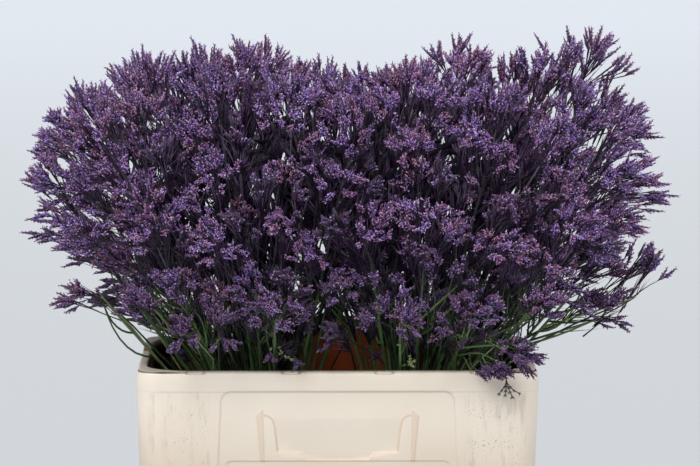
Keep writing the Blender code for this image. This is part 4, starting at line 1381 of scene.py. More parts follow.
def grip_relief(x, z):
    """How far the bin's face is sunk at a place, with narrow soft edges, and the distance to the nearest edges."""
    panel, grip, ribs, lower = grip_edges(x, z)
    soft = EDGE_SOFT
    slope = smooth_step(BIN_HEIGHT - GRIP_TOP + soft, BIN_HEIGHT - GRIP_TOP - GRIP_SLOPE, z)
    deep = FINE_PANEL_DEEP * smooth_step(soft, -soft, panel) + GRIP_DEEP * slope * smooth_step(soft, -soft, grip)
    deep -= (FINE_PANEL_DEEP - RIB_SUNK) * smooth_step(soft, -soft, ribs)
    deep += LOWER_DEEP * smooth_step(soft, -soft, lower)
    deep -= STEP_PROUD * smooth_step(BIN_HEIGHT - STEP_DROP - 0.0006, BIN_HEIGHT - STEP_DROP + 0.0006, z)
    return deep, np.minimum(np.abs(panel), np.abs(lower)), np.abs(grip), ribs


def spaced(edges, ends, near, step):
    """Places from one end to the other: a few close to each edge, and evenly spaced ones between."""
    low, high = ends
    close = [edge + d for edge in edges for d in near]
    stops = [low, *edges, high]
    fill = [low, high]
    for a, b, size in zip(stops, stops[1:], step):
        a, b = a + near[-1] * 2, b + near[0] * 2
        fill += list(np.linspace(a, b, max(int(round((b - a) / size)), 1) + 1))
    return np.array(sorted(set(np.round(np.clip(close + fill, low, high), 6))))


def upright_edges(z, flat_x):
    """X places of the relief's upright edges at a height, from the middle to the start of the corner's round."""
    drop = BIN_HEIGHT - RELIEF_DROP - z

    def down(low, high):
        return float(np.clip((drop - low) / (high - low), 0, 1))

    rib_x = RIB_X - RIB_LEAN * down(RIB_TOP, RIB_BOTTOM)
    rib_half = RIB_HALF * (1 - 0.5 * down(RIB_TOP, RIB_BOTTOM))
    grip = GRIP_HALF_TOP + (GRIP_HALF_STEP - GRIP_HALF_TOP) * down(GRIP_TOP, GRIP_STEP)
    panel = PANEL_HALF_TOP + (PANEL_HALF_BOTTOM - PANEL_HALF_TOP) * down(PANEL_TOP, PANEL_BOTTOM)
    return [0.0, GRIP_HALF_BOTTOM + 0.003, grip, rib_x - rib_half, rib_x + rib_half, panel, flat_x]


def front_columns(z, flat_x):
    """X places of the upright grid lines at a height.

    They are spaced once by the edges at the rim, then moved with these edges, and between them by share.
    """
    tops = upright_edges(BIN_HEIGHT, FRONT_FLAT)
    half = spaced(tops[1:-1], (tops[0], tops[-1]), COLUMNS_NEAR, COLUMN_STEPS)
    half = np.unique(np.concatenate([half, np.linspace(PANEL_HALF_TOP - PANEL_ROUND, PANEL_HALF_TOP - 0.002, 7)]))
    places = np.interp(half, tops, upright_edges(z, flat_x))
    return np.concatenate([-places[:0:-1], places])


def fine_ring(half_x, half_y, radius, z, columns=None):
    """Points round a rectangle with round corners, as many on every ring so that rings join into quads."""
    flat_x = half_x - radius
    flat_y = half_y - radius
    u = front_columns(z, flat_x) if columns is None else columns
    v = np.linspace(-1, 1, BIN_SIDE_POINTS)[1:-1]
    arc = np.linspace(0, math.pi / 2, BIN_CORNER_POINTS)[1:-1]
    front = np.stack([u, np.full_like(u, -half_y)], axis=1)
    right = np.stack([np.full_like(v, half_x), v * flat_y], axis=1)
    corner = []
    for quarter, (sx, sy) in enumerate(((1, -1), (1, 1), (-1, 1), (-1, -1))):
        angle = arc + math.pi / 2 * (quarter - 1)
        corner.append(np.stack([sx * flat_x + radius * np.cos(angle), sy * flat_y + radius * np.sin(angle)], axis=1))
    ends = np.array([[half_x, -flat_y], [half_x, flat_y]])
    side = np.concatenate([ends[:1], right, ends[1:]])
    ring = np.concatenate([front, corner[0], side, corner[1], -front, corner[2], -side, corner[3]])
    return np.column_stack([ring, np.full(len(ring), z)])


def row_places():
    """Drops below the rim of the level grid lines, close together at the relief's level edges."""
    edges = [PANEL_TOP + 0.0002, RIB_TOP, GRIP_TOP, GRIP_STEP + 0.001, GRIP_BOTTOM, LOWER_TOP]
    rows = spaced(edges, (0.001, BIN_FINE_DROP), ROWS_NEAR, ROW_STEPS)
    rounds = np.linspace(PANEL_TOP + 0.002, PANEL_TOP + PANEL_ROUND, 7)
    lower = np.linspace(LOWER_TOP + 0.002, LOWER_TOP + PANEL_ROUND * 0.6, 3)
    foot = np.array([PANEL_BOTTOM - 0.0045, PANEL_BOTTOM - 0.0035, PANEL_BOTTOM - 0.0005, PANEL_BOTTOM + 0.0005])
    moved = np.concatenate([rows, rounds, lower, foot]) + RELIEF_DROP
    return np.unique(np.round(np.concatenate([[0.001], moved]), 5))


def bin_rings():
    """The bin's rings from its underside to the rim: half width, half depth, corner radius, height."""
    rings = []
    low_x, low_y = bin_half(BIN_FOOT_ROUND)
    for angle in np.linspace(0, math.pi / 2, 6)[:-1]:
        inset = BIN_FOOT_ROUND * (1 - math.sin(angle))
        z = BIN_FOOT_ROUND * (1 - math.cos(angle))
        rings.append((low_x - inset, low_y - inset, BIN_CORNER - inset, z))
    for z in np.linspace(BIN_FOOT_ROUND, BIN_HEIGHT - BIN_FINE_DROP, 8)[:-1]:
        rings.append((*bin_half(z), BIN_CORNER, z))
    for z in BIN_HEIGHT - row_places()[::-1]:
        x, y = bin_half(z)
        share = max(z - (BIN_HEIGHT - BIN_SHOULDER_DROP), 0) / BIN_SHOULDER_DROP
        inset = (BIN_SHOULDER - 0.001) * share**2
        rings.append((x - inset, y - inset, BIN_CORNER - inset, z))
    x, y = bin_half(BIN_HEIGHT)
    rings.append((x - BIN_SHOULDER, y - BIN_SHOULDER, BIN_CORNER - BIN_SHOULDER, BIN_HEIGHT))
    return rings


def fine_bin_shape():
    """Corners and faces of the bin: outer rings sunk by the relief, a flat rim with an inward lip, the inner wall.

    Three point values give the distance to the nearest edge of the panels, of the pocket, and of the ribs, and the
    fourth is 1 on the inner wall and 0 elsewhere.
    """
    rings = []
    edges = []
    for half_x, half_y, radius, z in bin_rings():
        ring = fine_ring(half_x, half_y, radius, z)
        flat = np.abs(np.abs(ring[:, 1]) - half_y) < 1e-9
        relief, *near = grip_relief(ring[:, 0], ring[:, 2] + RELIEF_DROP)
        fade = smooth_step(BIN_HEIGHT, BIN_HEIGHT - 0.0012, ring[:, 2]) * smooth_step(0, 0.01, z)
        ring[:, 1] -= np.sign(ring[:, 1]) * np.where(flat, relief * fade, 0.0)
        rings.append(ring)
        edges.append(np.where(flat, np.stack(near), 1.0))

    # The rim and its lip: inset from the rim's outside, height from the rim, share of the lip
    x, y = (half - BIN_SHOULDER for half in bin_half(BIN_HEIGHT))
    w = BIN_WALL
    top_r = BIN_CORNER - BIN_SHOULDER
    profile = (
        (LIP_EDGE, 0.0, 0.0),
        (w - LIP_EDGE, 0.0, 1.0),
        (w, -0.0008, 1.0),
        (w, -LIP_TALL, 1.0),
        (w, -LIP_TALL - 0.0002, 0.0),
    )
    first_inside = len(rings) + 2
    for inset, dz, lip in profile:
        z = BIN_HEIGHT + dz
        ring = fine_ring(x - inset, y - inset, top_r - inset + 0.004 * inset / w, z)
        wide = fine_ring(x - inset - LIP_SIDE, y - inset - LIP_INWARD, LIP_CORNER, z)
        at_back = smooth_step(0.115, 0.095, np.abs(ring[:, 0])) * (ring[:, 1] > 0)
        rings.append(ring + (wide - ring) * (lip * (1 - at_back))[:, None])

    # The inner wall, down to the floor
    inner_x, inner_y = bin_half(BIN_FLOOR)
    for share in (0.96, 0.9, 0.7, 0.4, 0.1, 0.0):
        z = BIN_FLOOR + (BIN_HEIGHT - BIN_FLOOR) * share
        half_x = inner_x - w + (x - inner_x) * share
        half_y = inner_y - w + (y - inner_y) * share
        rings.append(fine_ring(half_x, half_y, BIN_CORNER - w + (0.004 - BIN_SHOULDER) * share, z))
    count = len(rings[0])
    corners = np.concatenate(rings)
    index = np.arange(len(corners)).reshape(-1, count)
    edges.append(np.ones((3, len(corners) - len(edges) * count)))
    values = dict(zip(("panel_edge", "pocket_edge", "rib_edge"), np.concatenate(edges, axis=1)))
    values["inside"] = np.repeat(np.arange(len(rings)) >= first_inside, count)
    return corners, [joined(index[:-1], index[1:]), index[:1, ::-1], index[-1:]], values


def fine_lining_shape():
    """The lining's sleeve with a raised tab whose top edge is softly rounded at its ends."""
    low_z = BIN_FLOOR + GAP
    top_z = BIN_HEIGHT - LIP_TALL - LINING_BELOW_RIM
    foot_x, foot_y = bin_half(BIN_FLOOR)
    top_x = BIN_WIDTH / 2 - BIN_SHOULDER
    top_y = BIN_DEPTH / 2 - BIN_SHOULDER
    inset = BIN_WALL + 2 * GAP
    r = BIN_CORNER - inset
    t = LINING_THICK

    def ring_at(x, y, radius, z):
        return fine_ring(x, y, radius, z, np.linspace(-1, 1, LINING_COLUMNS) * (x - radius))

    outside = []
    inside = []
    for share in np.linspace(0, 1, 6):
        z = low_z + (top_z - low_z) * share
        x = foot_x + (top_x - foot_x) * share - inset
        y = foot_y + (top_y - foot_y) * share - inset
        outside.append(ring_at(x, y, r, z))
        inside.append(ring_at(x - t, y - t, r - t, z))
    for ring in (outside[-1], inside[-1]):
        back = ring[:, 1] > top_y - inset - t * 1.5
        away = np.abs(ring[:, 0] - LINING_TAB_X)
        rise = smooth_step(LINING_TAB_HALF, LINING_TAB_HALF - 0.006, away) * back
        ring[:, 2] += rise * (BIN_HEIGHT + LINING_TAB_RISE - top_z)
    rings = outside + inside[::-1]
    index = np.arange(len(rings) * len(rings[0])).reshape(len(rings), -1)
    return np.concatenate(rings), [joined(index, np.roll(index, -1, axis=0))]


# Materials


def linear(code):
    """A hex colour as linear red, green, blue and alpha."""
    parts = [int(code[i : i + 2], 16) / 255 for i in (1, 3, 5)]
    return tuple(p / 12.92 if p <= 0.04045 else ((p + 0.055) / 1.055) ** 2.4 for p in parts) + (1.0,)


class Nodes:
    """A node tree, with short calls to add and join nodes."""

    def __init__(self, tree):
        self.tree = tree

    def add(self, kind, inputs=None, **settings):
        """A new node with these settings, and with its inputs joined to sockets or set to values."""
        node = self.tree.nodes.new(kind)
        for key, value in settings.items():
            setattr(node, key, value)
        for key, value in (inputs or {}).items():
            self.put(node.inputs[key], value)
        return node

    def put(self, socket, value):
        """Joins an output to this input, or sets its value. A colour of three numbers is made opaque."""
        if isinstance(value, bpy.types.NodeSocket):
            self.tree.links.new(value, socket)
        elif socket.type == "RGBA" and len(value) == 3:
            socket.default_value = (*value, 1.0)
        else:
            socket.default_value = value

    def math(self, operation, a, b=0.0):
        return self.add("ShaderNodeMath", {0: a, 1: b}, operation=operation).outputs[0]

    def times(self, *values):
        return reduce(lambda a, b: self.math("MULTIPLY", a, b), values)

    def plus(self, *values):
        return reduce(lambda a, b: self.math("ADD", a, b), values)

    def mix(self, factor, a, b, blend="MIX"):
        inputs = {"Factor": factor, "A": a, "B": b}
        return self.add("ShaderNodeMix", inputs, data_type="RGBA", blend_type=blend).outputs["Result"]

    def ramp(self, value, *stops):
        """A colour ramp, from stops that each hold a place and a colour."""
        node = self.add("ShaderNodeValToRGB", {"Fac": value})
        elements = node.color_ramp.elements
        while len(elements) < len(stops):
            elements.new(0.5)
        for element, (at, colour) in zip(elements, stops):
            element.position = at
            element.color = (*colour, 1.0)
        return node.outputs["Color"]

    def ease(self, value, low, high):
        """0 at low and before it, 1 at high and past it, and a cubic between. Low may be the greater."""
        inputs = {"Value": value, "From Min": low, "From Max": high}
        return self.add("ShaderNodeMapRange", inputs, interpolation_type="SMOOTHSTEP").outputs["Result"]

    def band(self, value, low, high, soft):
        """1 between two values and 0 outside them, with soft ends."""
        return self.times(self.ease(value, low - soft, low + soft), self.ease(value, high + soft, high - soft))

    def attribute(self, name):
        return self.add("ShaderNodeAttribute", attribute_name=name).outputs["Fac"]

    def place(self):
        return self.add("ShaderNodeTexCoord").outputs["Object"]

    def axes(self):
        """The three coordinates of the place, one by one."""
        return self.add("ShaderNodeSeparateXYZ", {0: self.place()}).outputs[:]

    def noise(self, scale, detail=3.0, stretch=(1.0, 1.0, 1.0), roughness=0.5):
        where = self.add("ShaderNodeMapping", {"Vector": self.place(), "Scale": stretch})
        inputs = {"Vector": where.outputs[0], "Scale": scale, "Detail": detail, "Roughness": roughness}
        return self.add("ShaderNodeTexNoise", inputs).outputs["Fac"]


class Shader(Nodes):
    """A new material's node tree with its Principled shader."""

    def __init__(self, name, roughness, specular=0.5):
        self.material = bpy.data.materials.new(name)
        self.material.use_nodes = True
        super().__init__(self.material.node_tree)
        self.principled = self.tree.nodes["Principled BSDF"]
        self.principled.inputs["Roughness"].default_value = roughness
        self.principled.inputs["Specular IOR Level"].default_value = specular

    def bump(self, height, strength, distance):
        node = self.add("ShaderNodeBump", {"Height": height, "Strength": strength, "Distance": distance})
        self.put(self.principled.inputs["Normal"], node.outputs[0])

    def colour(self, value):
        """Sets the surface's colour and gives the finished material."""
        self.put(self.principled.inputs["Base Color"], value)
        return self.material

    def deepened(self, colour, deep, deep_at, bare_at):
        """The colour with painted shade: turned to the deep one by each corner's place in the flower mass."""
        place = self.attribute("out")
        inputs = {"Colour": colour, "Deep": deep, "Place": place, "DeepAt": deep_at, "BareAt": bare_at}
        return self.add("ShaderNodeGroup", inputs, node_tree=shade_by_depth()).outputs[0]


def new_group(name, inputs, output):
    """An empty node group with named inputs, each with its default, and one output.

    Gives its nodes, the outputs of its input node and the inputs of its output node.
    """
    tree = bpy.data.node_groups.new(name, "ShaderNodeTree")
    for key, value in inputs.items():
        kind = "NodeSocketFloat" if isinstance(value, float) else "NodeSocketColor"
        tree.interface.new_socket(key, in_out="INPUT", socket_type=kind).default_value = value
    tree.interface.new_socket(output, in_out="OUTPUT", socket_type="NodeSocketColor")
    nodes = Nodes(tree)
    return nodes, tree.nodes.new("NodeGroupInput").outputs, tree.nodes.new("NodeGroupOutput").inputs


def shade_by_depth():
    """The group that paints shade on florets and comb bodies deep inside the flower mass, turning them to a dark
    colour.
    """
    if "shade_by_depth" not in MADE:
        white = (1.0, 1.0, 1.0, 1.0)
        inputs = {"Colour": white, "Deep": white, "Place": 1.0, "DeepAt": 0.4, "BareAt": 0.7}
        nodes, start, end = new_group("shade_by_depth", inputs, "Colour")
        share = nodes.ease(start["Place"], start["DeepAt"], start["BareAt"])
        nodes.put(end["Colour"], nodes.mix(share, start["Deep"], start["Colour"]))
        MADE["shade_by_depth"] = nodes.tree
    return MADE["shade_by_depth"]


def floret_material(look):
    """Petal colour by each floret's tone, pinker by its comb's hue, with a mauve or green base, and darker buds.

    Painted shade turns florets low on the mass and deep in it to a dark colour.
    """
    s = Shader("floret_papery", 0.75, specular=0.25)
    rim = s.attribute("rim")
    hue = s.attribute("hue")
    petals = ((0.0, look.petal_deep), (0.40, look.petal_middle), (0.78, look.petal_pale), (1.0, look.petal_bright))
    petal = s.mix(s.ease(hue, -0.35, 1.8), s.ramp(s.attribute("tone"), *petals), look.petal_pink)
    calyx = s.mix(s.ease(hue, -1.0, 1.2), look.calyx_green, look.calyx_mauve)
    flower = s.mix(s.ease(rim, 0.15, 0.65), calyx, petal)
    closed = s.mix(s.ease(rim, 0.3, 1.0), calyx, look.bud)
    colour = s.mix(s.attribute("bud"), flower, closed)
    cloud = s.ease(s.noise(14.0, 2.0), 0.35, 0.65)
    colour = s.mix(s.times(cloud, 0.35), colour, look.petal_pink, "MULTIPLY")
    # Painted shade on the lower florets, which hang under the mass
    low = s.ease(s.axes()[2], BIN_HEIGHT + 0.150, BIN_HEIGHT + 0.020)
    colour = s.mix(s.times(low, 0.56), colour, look.floret_shade)
    # Painted shade on florets deep inside the flower mass
    return s.colour(s.deepened(colour, look.floret_shade, 0.26, 0.66))


def spindle_material(look):
    """Comb bodies: rows of closed calyces in mauve or green by hue, with painted shade between them and deep in the
    flower mass, grey-mauve at the tip.
    """
    s = Shader("comb_calyces", 0.8, specular=0.2)
    calyx = s.mix(s.ease(s.attribute("hue"), -1.0, 1.0), look.calyx_green, look.calyx_mauve)
    calyx = s.mix(s.times(s.attribute("tone"), 0.45), calyx, look.petal_middle)
    # Painted shade in the gaps between the calyces
    grain = s.ease(s.noise(520.0, 3.0, roughness=0.7), 0.40, 0.62)
    colour = s.mix(grain, look.calyx_gap_shade, calyx)
    colour = s.mix(s.ease(s.attribute("along"), 0.62, 0.95), colour, look.tip)
    s.bump(grain, 0.6, 0.0012)
    # Painted shade on comb bodies deep inside the flower mass
    return s.colour(s.deepened(colour, look.calyx_gap_shade, 0.42, 0.84))


def stem_material(look):
    """Green wood whose colour goes by age along the spray, streaked lengthwise, each stem in its own tone.

    Tones near 0 are pale, painted light that stands for lit stems, and those from 0.2 up are dark, painted shade that
    stands for stems in shadow. Dried wood has a colour of its own, which is also painted shade on wood high in the
    flower mass and on the twiglets inside it.
    """
    s = Shader("stem_green", 0.6)
    tone = s.attribute("tone")
    ages = ((0.0, look.foot), (0.45, look.middle), (0.88, look.twig), (1.0, look.bract))
    streak = s.noise(60.0, 3.0, (6.0, 6.0, 0.5))
    colour = s.mix(s.times(s.ease(streak, 0.4, 0.7), 0.4), s.ramp(s.attribute("age"), *ages), look.pale)
    # Painted light on the palest stems and painted shade on the darker ones, each by its own tone
    colour = s.mix(s.times(s.ease(tone, 0.16, 0.0), 0.7), colour, look.pale)
    colour = s.mix(s.times(s.ease(tone, 0.2, 0.6), 0.92), colour, look.dark)
    # Painted shade on wood high in the flower mass and on the twiglets inside it, and the dried sprigs' own colour
    colour = s.mix(s.attribute("dry"), colour, look.dry)
    s.bump(streak, 0.25, 0.0004)
    return s.colour(colour)


def bin_material(look):
    """Worn cream plastic: faint mottling, painted shade towards its foot, brownish lines of painted shade along the
    relief, streaks, stains, specks, painted shade round the tabs, a worn rim with a near-black line under its edge,
    and painted shade on the inner wall.

    The places of the marks are the distance from the middle to each side (side) and to the front and back (face), and
    the depth below the rim (drop).
    """
    s = Shader("bin_cream_worn", 0.42)
    x, y, z = s.axes()
    side = s.math("ABSOLUTE", x)
    face = s.math("ABSOLUTE", y)
    drop = s.math("SUBTRACT", BIN_HEIGHT, z)
    colour = s.mix(s.ease(s.noise(9.0, 4.0), 0.3, 0.75), look.cream, look.cream_shade)
    # Painted shade: the plastic darkens towards its foot
    colour = s.mix(s.ease(drop, *FOOT_SHADE_DROP), colour, look.foot_shade, "MULTIPLY")

    # Old glue, brown stains and specks, most of them in a patch beside each end of the panel
    patch = s.times(s.band(side, *PATCH_SIDE, 0.005), s.band(drop, *PATCH_DROP, 0.004))
    streaks = s.ease(s.noise(150.0, 4.0, (1.0, 1.0, 0.12), 0.6), 0.50, 0.62)
    blocks = s.ease(s.noise(60.0, 1.0, (0.7, 1.0, 0.6)), 0.45, 0.62)
    glue = s.times(patch, streaks, s.plus(s.times(blocks, 0.8), 0.2))
    colour = s.mix(s.times(glue, 0.34), colour, look.glue)
    stains = s.ease(s.noise(90.0, 5.0, (1.0, 1.0, 0.7), 0.75), 0.54, 0.68)
    colour = s.mix(s.times(patch, stains, s.ease(drop, *RUST_DROP), 0.5), colour, look.crease_shade_and_stain)
    specks = s.ease(s.noise(760.0, 1.0), 0.68, 0.74)
    clusters = s.ease(s.noise(30.0, 2.0), 0.42, 0.62)
    colour = s.mix(s.times(specks, s.plus(s.times(patch, clusters, 0.8), 0.05)), colour, look.dirt)

    # Brownish lines of painted shade along the panels, the pocket and the ribs and on hooks that join the ribs to the
    # pocket, and painted shade on the ribs' faces
    ribs = s.attribute("rib_edge")
    hook_side = s.math("SUBTRACT", side, HOOK_X)
    hook_drop = s.math("SUBTRACT", drop, HOOK_DROP)
    radius = s.math("POWER", s.plus(s.times(hook_side, hook_side), s.times(hook_drop, hook_drop)), 0.5)
    hook = s.ease(s.math("ABSOLUTE", s.math("SUBTRACT", radius, HOOK_ROUND)), 0.0016, 0.0004)
    inner_top = s.times(s.ease(hook_side, 0.0004, -0.0004), s.ease(hook_drop, 0.0004, -0.0004))
    pocket = s.ease(s.attribute("pocket_edge"), 0.0016, 0.0004)
    for line in (
        s.times(s.ease(s.attribute("panel_edge"), 0.0010, 0.0003), 0.16),
        s.times(pocket, s.ease(hook_drop, -0.0005, 0.0005), 0.40),
        s.times(s.ease(ribs, 0.0003, -0.0004), 0.30),
        s.times(s.ease(s.math("ABSOLUTE", ribs), 0.0008, 0.0002), 0.14),
        s.times(hook, inner_top, s.ease(face, *FACE_Y), 0.48),
    ):
        colour = s.mix(line, colour, look.crease_shade_and_stain)
    step = STEP_DROP + RELIEF_DROP
    colour = s.mix(s.times(s.band(drop, step - 0.0004, step + 0.0002, 0.0003), 0.14), colour, look.dirt)

    # Painted shade round the tabs under the rim, along the outline of (across^4 + down^4)^(1/4) = 1
    tabs = 9.0
    for place in TAB_PLACES:
        across = s.math("ABSOLUTE", s.math("DIVIDE", s.math("SUBTRACT", side, place), TAB_HALF))
        down = s.math("ABSOLUTE", s.math("DIVIDE", s.math("SUBTRACT", drop, TAB_DROP), TAB_TALL))
        fourth = s.plus(s.math("POWER", across, 4.0), s.math("POWER", down, 4.0))
        tabs = s.math("MINIMUM", tabs, s.math("POWER", fourth, 0.25))
    outline = s.times(s.band(tabs, 0.84, 1.20, 0.12), s.ease(face, *FACE_Y), 0.62)
    colour = s.mix(outline, colour, look.tab_shade)

    # The worn top of the rim, a near-black line below its edge, painted shade that darkens the inner wall downwards,
    # and the slots in the side rims
    worn = s.times(s.ease(s.noise(35.0, 4.0), 0.3, 0.7), 0.35)
    front = s.times(s.ease(side, 0.165, 0.150), s.ease(face, 0.138, 0.142), 0.35)
    colour = s.mix(s.times(s.ease(drop, 0.0006, 0.0002), s.plus(worn, front, 0.15)), colour, look.rim)
    corner = s.plus(s.times(s.ease(side, *GROOVE_SIDE), 0.75), 0.25)
    groove = s.times(s.band(drop, *GROOVE_DROP, 0.0001), corner, s.ease(face, *GROOVE_Y))
    grime_and_shade = s.plus(s.times(s.ease(s.noise(30.0, 3.0), 0.35, 0.60), 0.25), 0.75)
    colour = s.mix(s.times(groove, grime_and_shade), colour, look.grime_and_shade)
    # Painted shade on the inner wall, darker further down
    colour = s.mix(s.times(s.ease(drop, 0.0004, 0.0090), s.attribute("inside"), 0.75), colour, look.grime_and_shade)
    slot = s.times(s.band(side, *SLOT_SIDE, 0.0003), s.band(y, *SLOT_Y, 0.001), s.ease(drop, *SLOT_DROP))
    colour = s.mix(slot, colour, look.slot)

    roughness = s.add("ShaderNodeMapRange", {"Value": glue, "To Min": 0.40, "To Max": 0.7})
    s.put(s.principled.inputs["Roughness"], roughness.outputs["Result"])
    raised = s.times(s.ease(tabs, 1.15, 0.9), s.ease(drop, 0.0016, 0.0024))
    s.bump(s.plus(s.noise(420.0, 2.0), glue, raised), 0.15, 0.0003)
    return s.colour(colour)


def lining_material(look):
    """Red-brown plastic with painted light in the gap between the bunches and painted shade beside it and at its top,
    lightly scuffed.
    """
    s = Shader("lining_red_brown", 0.55)
    x, _, z = s.axes()
    scuff = s.noise(40.0, 4.0, (1.0, 1.0, 0.4))
    half = LINING_TAB_HALF - 0.006
    # Painted light in the gap between the bunches; beside it and at the tab's top, painted shade
    light = s.times(
        s.ease(z, BIN_HEIGHT + 0.040, BIN_HEIGHT - 0.015), s.band(x, LINING_TAB_X - half, LINING_TAB_X + half, 0.012)
    )
    colour = s.mix(light, look.lining_shade_and_scuff, look.lining)
    colour = s.mix(s.times(s.ease(scuff, 0.45, 0.75), 0.30), colour, look.lining_shade_and_scuff)
    s.bump(scuff, 0.15, 0.0005)
    return s.colour(colour)


def floor_material(look):
    """Pale studio paper with painted light, which brightens it with distance from the object."""
    s = Shader("studio_floor", 0.9, specular=0.0)
    distance = s.add("ShaderNodeVectorMath", {0: s.place()}, operation="LENGTH").outputs["Value"]
    colour = s.mix(s.ease(distance, look.near_distance, look.far_distance), look.floor_near, look.floor_far)
    return s.colour(s.mix(s.times(s.noise(2.0, 2.0), 0.02), colour, (0.9, 0.9, 0.9), "MULTIPLY"))


# The add-on


def tint(name, text, code):
    """A colour that a user can change, from its label, its description and its hex code."""
    return FloatVectorProperty(
        name=name, description=text, subtype="COLOR", size=3, min=0.0, max=1.0, default=linear(code)[:3]
    )


class StaticeFlowerLook(bpy.types.PropertyGroup):
    """Colours of the florets."""

    petal_deep: tint("Petal, deep", "Darkest petals", "#614c9b")
    petal_middle: tint("Petal, middle", "Most petals", "#9a79cb")
    petal_pale: tint("Petal, pale", "Paler petals", "#c8afe4")
    petal_bright: tint("Petal, bright", "Brightest petals", "#dacdf0")
    petal_pink: tint("Petal, pink", "Petals of the pinker combs", "#b88aa6")
    calyx_green: tint("Calyx, green", "Floret bases on young combs", "#646056")
    calyx_mauve: tint("Calyx, mauve", "Floret bases on older combs", "#7a4c6e")
    bud: tint("Bud", "Tips of closed florets", "#95658a")
    # Painted shade on florets low on the mass and deep inside it
    floret_shade: tint("Withered", "Florets low on the mass and deep in it", "#30263e")
    # Painted shade between the calyces of a comb and on comb bodies deep in the mass
    calyx_gap_shade: tint("Gap", "Dark gaps between the calyces of a comb", "#1b1324")
    tip: tint("Tip", "Grey-mauve tips of the combs", "#4c4458")


class StaticeStemLook(bpy.types.PropertyGroup):
    """Colours of the stems."""

    foot: tint("Foot", "Stems inside the bin", "#69905b")
    middle: tint("Middle", "Stems between the rim and the flowers", "#587a4b")
    twig: tint("Twig", "Twigs below the combs", "#45523a")
    bract: tint("Bract", "Small scales at the forks", "#b2b288")
    # The pale colour is also painted light on the palest stems, and the dark one painted shade on the darker stems
    pale: tint("Pale streak", "Pale streaks along the stems", "#93a868")
    dark: tint("Dark", "Shade of the darkest stems", "#1e2c13")
    # Painted shade on wood high in the flower mass and on the twiglets inside it, and the dried sprigs' own colour
    dry: tint("Dry", "Dry twiglets inside the flower mass", "#3f234d")


class StaticeBinLook(bpy.types.PropertyGroup):
    """Colours of the bin and its lining."""

    cream: tint("Cream", "The bin's plastic", "#eadfd0")
    cream_shade: tint("Cream, shade", "Faint mottling of the plastic", "#e4d7c6")
    # Painted shade that darkens the plastic towards its foot
    foot_shade: tint("Cream, foot", "Multiplies the plastic towards its foot", "#e9e6e2")
    # Painted shade along the relief's creases and on the ribs' faces, and the colour of the brown stains
    crease_shade_and_stain: tint("Crease", "Lines along the edges of the relief", "#c8a382")
    # Painted shade round the tabs
    tab_shade: tint("Crease, dark", "Lines round the tabs", "#8c6c50")
    rim: tint("Rim", "The worn flat top of the rim", "#b3aa9c")
    # Painted shade on the inner wall, and the near-black line under the rim's edge
    grime_and_shade: tint("Grime", "The groove under the rim's edge and the inner wall", "#15110f")
    glue: tint("Glue", "Streaks of old glue", "#a89e90")
    dirt: tint("Dirt", "Specks and grime", "#5d5346")
    slot: tint("Slot", "The slots in the side rims", "#b43c12")
    # The lining's colour in the painted light of the gap
    lining: tint("Lining", "The red-brown lining", "#ee6a28")
    # Painted shade beside the gap and at the lining's top, and the colour of its scuffs
    lining_shade_and_scuff: tint("Lining, dark", "The lining beside the gap and at its top", "#74341f")


class StaticeStage(bpy.types.PropertyGroup):
    """Floor, light and camera."""

    # The floor's painted light: the near colour by the object, brightening to the far one
    floor_near: tint("Floor, near", "Floor near the object", "#b9bcbf")
    floor_far: tint("Floor, far", "Floor far from the object", "#c8cdd3")
    near_distance: FloatProperty(
        name="Near", description="Where the floor starts to brighten", default=1.5, unit="LENGTH"
    )
    far_distance: FloatProperty(name="Far", description="Where the floor is brightest", default=14.0, unit="LENGTH")
    key: FloatProperty(name="Key light", description="Strength of the soft key light", default=3.2, min=0.0)
    fill: FloatProperty(name="Fill light", description="Strength of the soft fill light", default=1.7, min=0.0)
    sky: FloatProperty(name="Surrounding light", description="Strength of the even light", default=0.30, min=0.0)


def layout():
    """The part's own sprays with the inner tufts added, their smooth stalks, and the fine tufts. Made once."""
    if "layout" not in MADE:
        sprays, tubes = plant_sprays()
        stalks = spline_rows(np.array([s.stalk for s in sprays]), STALK_FINE_RINGS)
        add_inner_tufts(sprays)
        woods = tuft_woods(sprays, stalks)
        groups = [FineTufts(sprays, tubes, woods, inner) for inner in (False, True)]
        MADE["layout"] = (sprays, stalks, groups)
    return MADE["layout"]


class STATICE_OT_stems(bpy.types.Operator):
    """Builds each spray's stalk, branches and twigs."""

    bl_idname = "statice.stems"
    bl_label = "Build stems"

    def execute(self, context):
        sprays, stalks, groups = layout()
        material = stem_material(context.scene.statice_stems)
        for owner, spray in enumerate(sprays):
            spray_piece(spray, "stems", spray_stems(owner, spray, stalks[owner], groups), material)
        return {"FINISHED"}


class STATICE_OT_florets(bpy.types.Operator):
    """Builds each spray's combs of florets."""

    bl_idname = "statice.florets"
    bl_label = "Build florets"

    def execute(self, context):
        sprays, _, groups = layout()
        material = floret_material(context.scene.statice_flowers)
        outer, inner = [fine.florets() for fine in groups]
        owners, corners = (np.concatenate([outer[i], inner[i]]) for i in (0, 1))
        values = {key: np.concatenate([outer[2][key], inner[2][key]]) for key in outer[2]}
        for owner, spray in enumerate(sprays):
            mine = owners == owner
            faces = copied_faces(FLORET_FACES, mine.sum(), FLORET_CORNERS + 1)
            own = {key: value[mine] for key, value in values.items()}
            shape = corners[mine].reshape(-1, 3), [faces], own
            spray_piece(spray, "florets", shape, material, smooth=False)
        return {"FINISHED"}


